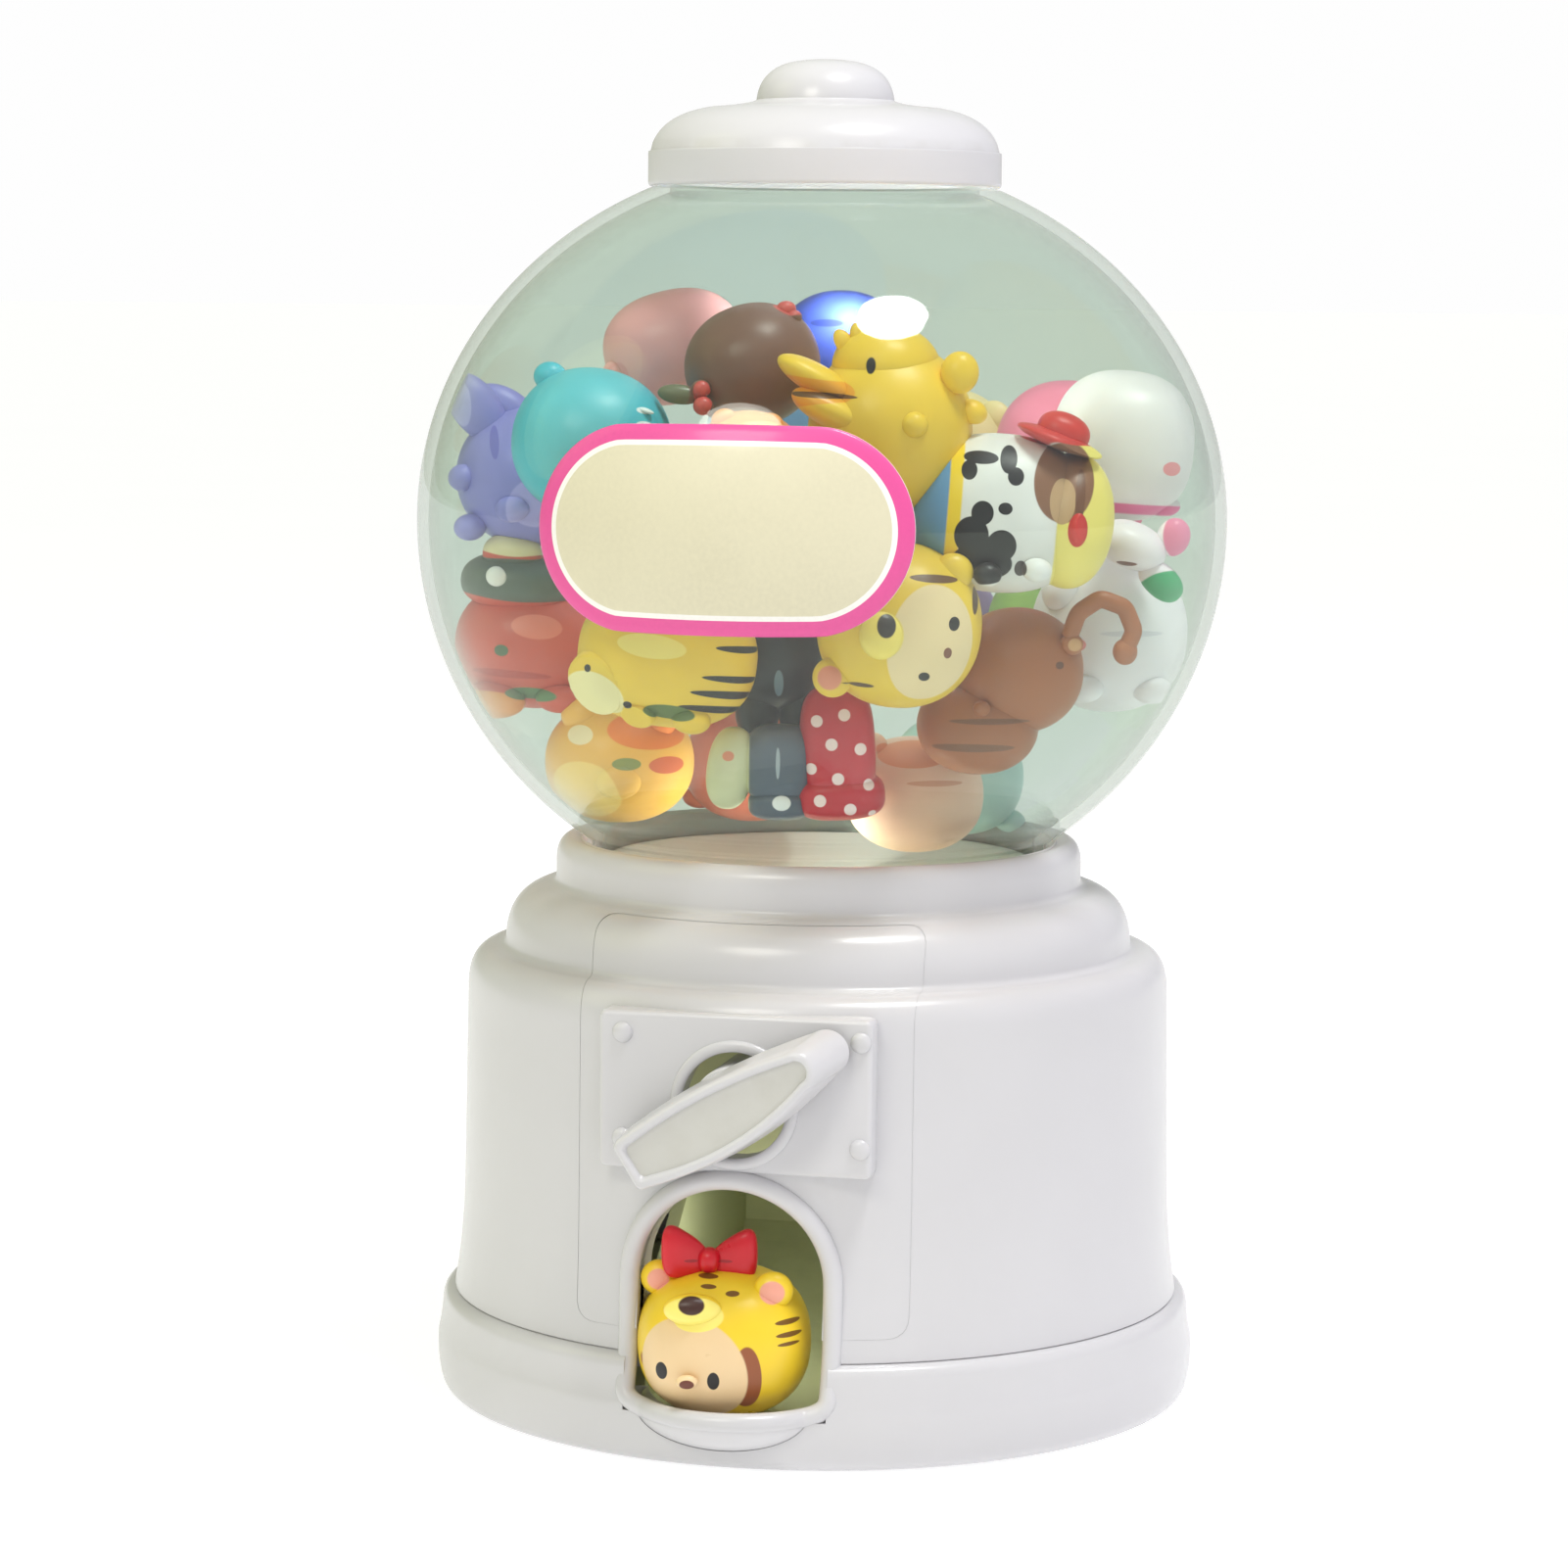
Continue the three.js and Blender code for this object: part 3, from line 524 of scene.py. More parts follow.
WHITE = moulding("white_plastic", linear(206, 205, 208))
# rough, grainy plastic for the knob's recessed face; its darker, warmer tone is painted shade of the recess
MATTE_SHADED = moulding("white_plastic_textured_shaded", linear(201, 200, 195), 0.62, grain=0.9)
# a brighter copy of the white plastic: painted light, for the hopper lit bright inside the globe
PALE_LIT = moulding("pale_plastic", linear(240, 240, 234), 0.4)
# the inner parts' olive tone is partly painted shade: the green-tinted shade inside the case
INNER_SHADED = moulding("inner_plastic", linear(186, 190, 150), 0.5, crease_shade=0.3)
CLEAR = clear_moulding("clear_plastic")
STEEL = metal("zinc_steel", (0.62, 0.63, 0.65), 0.32)
PINK_INK = print_ink("label_pink", linear(222, 78, 150))
WHITE_INK = print_ink("label_white", linear(240, 238, 234))
CREAM_INK = print_ink("label_cream", linear(214, 208, 180), 0.45)


def dress(piece, material, body, slot, *nodes):
    """Gives a piece its material and its body, and hides the CAD nodes that it stands for; slot is not used.
    """
    if material is not None:
        piece.data.materials.clear()
        piece.data.materials.append(material)
    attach(piece, body)
    if nodes:
        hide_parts(*nodes)
    return piece


# ---------------------------------------------------------------- globe
GLOBE_LOW, GLOBE_HIGH = node_box("globe")
GLOBE_RADIUS = 42.5
GLOBE_MIDDLE = 92.0
GLOBE_UP, GLOBE_DOWN = 38.3, 41.0
GLOBE_WALL = 1.2
NECK_RADIUS, THROAT_RADIUS, FLANGE_RADIUS = 16.9, 24.1, 26.0


def globe_arc(offset, low_radius, high_radius, steps):
    """Points up the globe's wall from one radius below the middle to another above it."""
    lowest = -math.acos(low_radius / (GLOBE_RADIUS + offset))
    highest = math.acos(high_radius / (GLOBE_RADIUS + offset))
    found = []
    for i in range(steps + 1):
        turn = lowest + (highest - lowest) * i / steps
        half = (GLOBE_UP if turn > 0 else GLOBE_DOWN) + offset
        found.append(((GLOBE_RADIUS + offset) * math.cos(turn), GLOBE_MIDDLE + half * math.sin(turn)))
    return found


def make_globe():
    bottom, top = GLOBE_LOW[2], GLOBE_HIGH[2]
    outside = globe_arc(0, THROAT_RADIUS, NECK_RADIUS + 0.5, 96)
    inside = globe_arc(-GLOBE_WALL, THROAT_RADIUS - GLOBE_WALL, NECK_RADIUS - GLOBE_WALL + 0.5, 96)[::-1]
    mouth = NECK_RADIUS - GLOBE_WALL
    neck = rounded([(NECK_RADIUS, outside[-1][1] + 0.5, 0.5), (NECK_RADIUS, top, 0.3), (mouth, top, 0.3),
                    (mouth, inside[0][1] + 0.5, 0.5)])
    throat = rounded([(THROAT_RADIUS - GLOBE_WALL, bottom, 0.3), (FLANGE_RADIUS, bottom, 0.3),
                      (FLANGE_RADIUS, bottom + 1.5, 0.4), (THROAT_RADIUS, bottom + 1.5, 0.4)])
    globe = lathe("globe_shell", outside + neck + inside + throat, 288)
    shaded(globe, 60)
    return dress(globe, CLEAR, "base", "clear_plastic", "globe")


make_globe()


# ---------------------------------------------------------------- lid
def make_lid():
    low, high = node_box("lid")
    rim = (high[0] - low[0]) / 2
    top, plug_end = high[2], low[2] + 0.3
    bottom, shoulder, deck = 126.6, 130.6, 135.0
    knob, roof, plug_inner, plug_outer, wall = 7.2, 131.4, 14, 15.2, 1.3
    skin = rounded([(rim - 1.2, bottom + 0.45, 0.3), (rim, bottom, 0.6), (rim, shoulder, 0.5)], 6)
    skin += bend((rim - 0.35, shoulder + 0.4), (17.0, 134.1), (12.4, deck - 0.1), 22)
    skin += bend((12.4, deck - 0.1), (knob + 0.6, deck + 0.3), (knob, deck + 0.75), 10)
    skin += bend((knob, deck + 0.75), (knob - 0.3, top - 1.3), (3.9, top - 0.4), 16)
    skin += bend((3.9, top - 0.4), (2.2, top), (0, top), 8)
    hollow = rounded([(plug_inner, roof, 0.6), (plug_inner, plug_end, 0.3), (plug_outer, plug_end, 0.5),
                      (plug_outer, roof, 0.4), (rim - wall, roof, 0.5)])
    lid = lathe("lid_cap", skin + [(0, roof)] + hollow, 192)
    shaded(lid, 50)
    return dress(lid, WHITE, "lid", "white_plastic", "lid")


make_lid()


# ---------------------------------------------------------------- label
def make_label():
    """A sticker on the globe: cream middle, white line and pink border, following the curved wall."""
    low, high = node_box("label")
    half_height, middle = (high[2] - low[2]) / 2, (high[2] + low[2]) / 2
    facing = math.radians(-1.6)
    half_length, front, back, edge_drop = 18.9, 0.62, 0.34, 0.12
    straight = half_length - half_height
    rings = [0.0, 0.2, 0.4, 0.6, 0.74, 0.8, 0.85, 0.92, 0.98, 1.0]
    around = 160
    faces, slots, vertices = [], [], []
    cream, white, pink = range(3)

    def place(across, height, offset):
        z = middle + height
        half = (GLOBE_UP if z > GLOBE_MIDDLE else GLOBE_DOWN) + offset
        radius = (GLOBE_RADIUS + offset) * math.sqrt(1 - ((z - GLOBE_MIDDLE) / half) ** 2)
        turn = facing + math.asin(across / radius)
        return (radius * math.sin(turn), -radius * math.cos(turn), z)

    def outline(i, share):
        """Point i round a stadium shrunk towards its middle line."""
        turn = 2 * math.pi * i / around
        spread = straight * min(1, 0.02 + share * 1.2) if share < 0.8 else straight
        side = 1 if math.cos(turn) > 0 else -1
        across = side * spread * min(1, abs(math.cos(turn)) * 6) + half_height * share * math.cos(turn)
        return across, half_height * share * math.sin(turn)

    for offset in (front, back):
        for share in rings:
            drop = edge_drop if share == 1.0 and offset == front else 0
            vertices += [place(*outline(i, share), offset - drop) for i in range(around)]
    count = len(rings) * around
    for base in (0, count):
        for ring in range(len(rings) - 1):
            faces += band(base + ring * around, base + (ring + 1) * around, around)
            slots += [cream if ring < 5 else (white if ring < 6 else pink)] * around
    faces += band(count - around, 2 * count - around, around)
    slots += [white] * around
    label = add_object("label_sticker", vertices, faces, [CREAM_INK, WHITE_INK, PINK_INK], slots)
    orient(label, 1e-6)
    shaded(label, 50)
    return dress(label, None, "base", "label_paper", "label")


make_label()


# ---------------------------------------------------------------- base: shell, panel and foot
COLLAR_TOP = 58.6
SEAM = 0.07
PANEL_HALF, PANEL_BOTTOM, PANEL_TOP = 17.0, 13.0, 53.1
TRAY_HALF, TRAY_REACH, TRAY_DEPTH, TRAY_RIM = 11.2, 11.6, 5.2, 5.7
TRAY_MIDDLE = -32.0
OUTLET_X = -0.6
ARCH_HALF, ARCH_MIDDLE = 9.5, 18.2
AXIS_Z = 36.2
HOLE = 5.45
PAD_FRONT = -37.75
THROUGH = -60, -20  # depths that a cut through the front wall spans


def shell_skin():
    """Outer skin of the stepped base, bottom to top."""
    skin = [(38.4, 10.62), (38.5, 10.74)]
    skin += bend(skin[-1], (37.9, 13.8), (37.55, 19.5), 16)
    skin += [(37.4, 25), (37.25, 34), (37.1, 42.6)]
    skin += bend(skin[-1], (37.15, 46.75), (34.4, 46.95), 14)
    skin += bend(skin[-1], (33.15, 47.0), (33.15, 47.7), 6)
    skin += bend(skin[-1], (33.0, 52.9), (28.6, 53.55), 18)
    skin += bend(skin[-1], (27.8, 53.7), (27.8, 54.4), 5)
    skin += [(27.8, 56.2)]
    skin += bend(skin[-1], (27.75, 58.35), (26.35, COLLAR_TOP), 10)
    return skin


def shell_lining():
    """Inner side, top to bottom."""
    lining = rounded([(25.1, 58.5, 0.3), (24.45, 57.6, 0.2), (24.45, 55.6, 0.3), (26.4, 55.6, 0.3)])
    lining += [(26.4, 52.2)]
    lining += bend(lining[-1], (31.2, 52), (31.4, 48), 8)
    lining += [(31.4, 45.6), (34.6, 44.4), (35.1, 42), (35.4, 16), (37.0, 10.62)]
    return lining


def panel_prism(grow):
    fine = min(grow, 0.045)  # the joint closes up at the right and at the bottom
    outline = rounded_box_outline(-PANEL_HALF - grow, PANEL_HALF + fine,
                                  PANEL_BOTTOM - fine, PANEL_TOP + grow, 2.2)
    return prism("panel_prism", outline, -60, -15)


def block(name, x0, x1, y0, y1, z0, z1):
    return prism(name, [(x0, z0), (x1, z0), (x1, z1), (x0, z1)], y0, y1)


def tray_form(name, grow=0.0, lift=0.0, depth=TRAY_DEPTH):
    """The tray's bowl as a fine ellipsoid."""
    centre = (OUTLET_X, TRAY_MIDDLE, TRAY_RIM + lift)
    size = (TRAY_HALF + grow, TRAY_REACH + grow, depth + grow)
    return disc_ball(name, centre, size, WHITE, 96, 64)


def outlet_room(name, z0, z1):
    """The width that the arch's bead covers, from one height to another."""
    half = ARCH_HALF + 0.9
    return block(name, OUTLET_X - half, OUTLET_X + half, *THROUGH, z0, z1)


def make_shell():
    shell = lathe("case_shell", shell_skin() + shell_lining(), 256)
    carved(shell, panel_prism(SEAM))
    carved(shell, outlet_room("tongue_cut", 0, PANEL_BOTTOM + 1))
    shaded(shell, 40)
    return dress(shell, WHITE, "base", "white_plastic", "body_shell")


make_shell()


def arch_prism(name, half, bottom, y0, y1):
    """A block with the arch's round top."""
    outline = [(OUTLET_X - half, bottom), (OUTLET_X + half, bottom)]
    turns = [math.pi * i / 40 for i in range(41)]
    outline += [(OUTLET_X + half * math.cos(a), ARCH_MIDDLE + half * math.sin(a)) for a in turns]
    return prism(name, outline, y0, y1)


def skin_depth(z):
    """How far out the case's skin is at a height."""
    skin = shell_skin()
    return float(np.interp(z, [p[1] for p in skin], [p[0] for p in skin]))


def outlet_bead():
    """One rounded lip: up one side of the arch, over it, down the other and round the bowl's edge."""
    across = ARCH_HALF + 0.95
    side_z = np.linspace(TRAY_RIM + 0.2, ARCH_MIDDLE, 30)
    front = [(across, z) for z in side_z]
    front += [(across * math.cos(a), ARCH_MIDDLE + across * math.sin(a))
              for a in np.linspace(0, math.pi, 90)[1:-1]]
    front += [(-across, z) for z in side_z[::-1]]
    path, normals = [], []
    for x, z in front:
        place = x + OUTLET_X
        flare = 1.9 * max(0.0, (14.5 - z) / 8) ** 2
        path.append((place, -math.sqrt(skin_depth(max(z, 17)) ** 2 - place * place) + 0.05 - flare, z))
        normals.append((place / 60, -1, 0))
    # round the bowl: its edge meets the arch's sides
    reach = TRAY_REACH - 0.85
    wide = TRAY_HALF - 0.85
    start = math.asin(max(0.0, min(1.0, (-path[-1][1] + TRAY_MIDDLE) / reach)))
    for a in np.linspace(start, math.pi - start, 70)[1:-1]:
        path.append((OUTLET_X - wide * math.cos(a), TRAY_MIDDLE - reach * math.sin(a), TRAY_RIM - 0.25))
        normals.append((-0.4 * math.cos(a), -1, 0.6))
    path, normals = np.array(path), np.array(normals)
    for _ in range(5):
        path, normals = ((np.roll(line, 1, axis=0) + 2 * line + np.roll(line, -1, axis=0)) / 4
                         for line in (path, normals))
    return sweep("bead", path, normals, oval(1.0, 1.05, 28), True)


def make_panel():
    panel = lathe("panel_skin", shell_skin() + shell_lining(), 256)
    carved(panel, panel_prism(-SEAM + 0.1), "INTERSECT")
    pad_outline = rounded_box_outline(-13.8, 13.8, 29.4, 45.2, 0.8)
    pad = prism("pad", pad_outline, PAD_FRONT, -34.4)
    eased(pad, 0.5, 4)
    way = arch_prism("way", ARCH_HALF, TRAY_RIM, *THROUGH)
    knob_hole = prism("knob_hole", [(x, AXIS_Z + z) for x, z in oval(HOLE, HOLE, 64)], *THROUGH)
    carved(panel, pad, "UNION")
    lip = arch_prism("lip", ARCH_HALF + 1.1, TRAY_RIM + 3, -35.2, -31)
    carved(lip, arch_prism("lip_way", ARCH_HALF, TRAY_RIM - 3, *THROUGH))
    pieces = [panel, shaded(lip, 35)]
    carved(panel, way)
    carved(panel, knob_hole)
    shaded(panel, 35)
    # raised ring round the knob's hole
    angles = np.linspace(0, 2 * math.pi, 97)
    radius = HOLE + 0.45
    ring_path = [(radius * math.cos(a), PAD_FRONT, AXIS_Z + radius * math.sin(a)) for a in angles]
    pieces.append(sweep("ring", ring_path, [(0, -1, 0)] * len(angles), oval(0.6, 0.4, 20)))
    pieces.append(outlet_bead())
    # moulded rivets near the pad's corners
    for x in (-11.4, 12.7):
        for z in (32.4, 43.0):
            pieces.append(disc_ball("rivet", (x, PAD_FRONT + 0.05, z), (1.05, 0.6, 1.05), WHITE, 28, 18))
    bowl = tray_form("bowl")
    carved(bowl, block("keep", -20, 20, -50, -31, -5, TRAY_RIM), "INTERSECT")
    carved(bowl, tray_form("bowl_hollow", -1.4, 0.1, 4.8))
    eased(bowl, 0.45, 4, 40)
    pieces.append(bowl)
    whole = joined("case_front", pieces)
    return dress(whole, WHITE, "base", "white_plastic", "front_panel")


make_panel()


def make_foot():
    low, high = node_box("base_foot")
    outer = (high[0] - low[0]) / 2
    top = high[2] + 0.08
    skin = [(38.3, top)]
    skin += bend(skin[-1], (39.6, top), (39.75, 9.2), 12)
    skin += bend(skin[-1], (39.85, 7.2), (40.25, 5.6), 8)
    skin += bend(skin[-1], (outer + 0.1, 3.0), (39.9, 1.1), 10)
    skin += bend(skin[-1], (39.6, 0.1), (38.9, 0.0), 6)
    lining = [(37.7, 0.0), (37.7, 8), (37.0, top - 0.2)]
    foot = lathe("foot_ring", skin + lining, 256)
    carved(foot, outlet_room("above", TRAY_RIM - 0.6, 20))
    carved(foot, tray_form("bowl_room", 0.06))
    shaded(foot, 40)
    return dress(foot, WHITE, "base", "white_plastic", "base_foot")


make_foot()


# ---------------------------------------------------------------- knob
def make_knob():
    """A tapered grip: blunt at one end, round at the other, with a thin rim round its face."""
    low, high = node_box("knob")
    front = low[1]
    back = -38.7
    blunt, tip, face_tip, width, face_width = -11.0, 13.6, 10.7, 8.4, 7.3

    def outline(reach, full, inset=0.0):
        """Leaf-shaped outline points, along and across: blunt at one end, round at the other."""
        low_end, low_bow = 0.33 * full - inset, 0.69 * full - inset
        high_end, high_bow = 0.4 * full - inset, 0.54 * full - inset
        tip_half, corner = 0.27 * full - inset, 0.8
        start, stop = blunt + inset, reach - inset
        points = bend((start + corner, -low_end), (0, -low_bow), (stop - tip_half, -tip_half), 26)
        points += [(stop - tip_half + tip_half * math.cos(a), tip_half * math.sin(a))
                   for a in np.linspace(-math.pi / 2, math.pi / 2, 24)[1:]]
        points += bend((stop - tip_half, tip_half), (0, high_bow), (start + corner, high_end), 26)
        points += bend((start + corner, high_end), (start, high_end), (start, high_end - corner), 6)
        points += bend((start, corner - low_end), (start, -low_end), (start + corner, -low_end), 6)
        return points

    depth = back - front
    layers = []
    # share of the depth from back to front, and inset of the outline there; the last five make the rim
    for share, inset in ((0.0, 0.25), (0.04, 0.0), (0.3, 0.0), (0.6, 0.0), (0.94, 0.0), (0.98, 0.1),
                         (1.0, 0.28), (1.0, 0.55), (0.98, 0.74), (0.93, 0.86), (0.91, 0.94)):
        reach = tip + (face_tip - tip) * share
        full = width + (face_width - width) * share
        layers.append((back - depth * share, outline(reach, full, inset)))
    size = len(layers[0][1])
    vertices, faces = [], []
    tilt = math.radians(32)
    for y, points in layers:
        for along, across in points:
            x = along * math.cos(tilt) - across * math.sin(tilt)
            z = along * math.sin(tilt) + across * math.cos(tilt)
            vertices.append((x, y, AXIS_Z + z))
    for i in range(len(layers) - 1):
        faces += band(i * size, (i + 1) * size, size)
    faces.append(list(range(size - 1, -1, -1)))
    faces.append([(len(layers) - 1) * size + j for j in range(size)])
    # the recessed face takes the rough plastic whose darker tone is painted shade
    slots = [0] * len(faces)
    slots[-1] = 1
    grip = add_object("grip", vertices, faces, [WHITE, MATTE_SHADED], slots)
    orient(grip)
    shaded(grip, 45)
    hub = prism("hub", [(x, AXIS_Z + z) for x, z in oval(4, 4, 64)], back - 0.2, high[1])
    eased(hub, 0.3, 3)
    hub.data.materials.append(WHITE)
    knob = joined("knob_grip", [grip, hub])
    return dress(knob, None, "rotor", "white_plastic", "knob")


make_knob()


# ---------------------------------------------------------------- hopper
def make_hopper():
    low, high = node_box("hopper")
    flange = (high[0] - low[0]) / 2
    foot, rim = low[2], high[2]
    outline = rounded([(11.2, 50.0, 0.5), (11.2, foot, 0.3), (13, foot, 0.3), (21.2, 53.6, 0.3),
                       (21.2, foot, 0.3), (flange, foot, 0.3), (flange, 49.9, 0.3), (22.6, 49.9, 0.4),
                       (22.6, rim, 0.3), (21.8, rim, 0.3)])
    hopper = lathe("hopper_funnel", outline, 128)
    shaded(hopper, 40)
    return dress(hopper, PALE_LIT, "base", "pale_plastic", "hopper")


make_hopper()


# ---------------------------------------------------------------- carried-over CAD pieces
def keep(names, material):
    for name in names:
        node = frame["nodes"][name]
        node.data.materials.clear()
        node.data.materials.append(material)
        shaded(node, 30)


# the inner parts take the olive plastic whose tone is partly painted shade
keep(["bottom_plate", "drum_housing", "dispensing_drum", "chute_ramp"], INNER_SHADED)
keep([name for name in frame["nodes"] if "screw" in name or name in ("drive_shaft", "rear_washer")], STEEL)


# ---------------------------------------------------------------- toys
# Each toy is drawn round its CAD node's centre, in millimetres: x to the right, -y towards the
# viewer it faces, z up. Its paint is given in the same terms.
SLOT_OF = {entry["node"]: entry["material_slot"] for entry in frame["record"]["subparts"]}
INK = (26, 22, 24)
BLUSH = (238, 158, 160)


def inside_globe(point):
    """Draws a point in to the globe's inner wall, where it would stand past it."""
    margin = 0.3
    x, y, z = point
    wide = GLOBE_RADIUS - GLOBE_WALL - margin
    half = (GLOBE_UP if z > GLOBE_MIDDLE else GLOBE_DOWN) - GLOBE_WALL - margin
    size = math.sqrt((x * x + y * y) / wide ** 2 + ((z - GLOBE_MIDDLE) / half) ** 2)
    if size <= 1:
        return point
    return (x / size, y / size, GLOBE_MIDDLE + (z - GLOBE_MIDDLE) / size)


def ball(centre, size, power=1.0, tilt=(0, 0, 0), fine=1.0):
    turn = Euler([math.radians(t) for t in tilt])
    return disc_ball("part", centre, size, None, int(48 * fine), int(34 * fine), power, turn)


def bent_tube(points, radius):
    """A tube along a smooth curve near the points."""
    steps = 60
    points = np.array(points, float)
    at = np.linspace(0, len(points) - 1, steps)
    path = np.stack([np.interp(at, range(len(points)), points[:, k]) for k in range(3)], axis=1)
    for _ in range(6):
        path[1:-1] = (path[:-2] + 2 * path[1:-1] + path[2:]) / 4
    normals = [(0, -1, 0.01)] * steps
    return sweep("tube", path, normals, oval(radius, radius, 16))


def settle(node, pieces, colour, paint, turn=VIEW_TURN, lean=0.0, roughness=0.4, shift=(0, 0, 0)):
    """Joins a toy's pieces, places it on its node, holds it within the globe and paints it."""
    low, high = node_box(node)
    centre = Vector((low + high) / 2)
    toy = joined(node + "_figure", pieces)
    about = Matrix.Rotation(math.radians(turn), 3, "Z") @ Matrix.Rotation(math.radians(lean), 3, "Y")
    centre += about @ Vector(shift)
    inverse = about.inverted()
    for vertex in toy.data.vertices:
        world = about @ (vertex.co / MM) + centre
        if node != "toy_delivered":
            world = Vector(inside_globe(tuple(world)))
        vertex.co = inverse @ (world - centre) * MM
    toy.matrix_world = Matrix.Translation(centre * MM) @ about.to_4x4()
    toy.data.update()
    paint = [(linear(*tone), place, radii) for tone, place, radii in paint]
    skin = vinyl(node + "_vinyl", linear(*colour), paint, roughness)
    return dress(toy, skin, "base", SLOT_OF[node], node)


def eyes(x, y, z, gap):
    """Two painted dots and a nose between them."""
    size = 0.62
    reach = (size, 1.6, size * 1.15)
    return [(INK, (x - gap, y, z), reach), (INK, (x + gap, y, z), reach),
            ((120, 62, 50), (x, y, z - gap * 0.42), (size * 0.9, 1.6, size * 0.6))]


def blush(x, y, z, gap):
    return [(BLUSH, (x + side * gap, y, z), (1.1, 1.6, 0.8)) for side in (-1, 1)]


RED_DOTS = [((250, 226, 226), (x, -4.4, z), (0.62, 2.0, 0.62)) for x, z in (
    (-3.4, 4.4), (-0.6, 4.9), (-2.0, 2.0), (0.9, 1.4), (-4.2, -0.4), (-1.5, -1.5), (1.6, -2.2), (-3.4, -3.6),
    (-0.4, -4.6), (1.9, -5.4))]
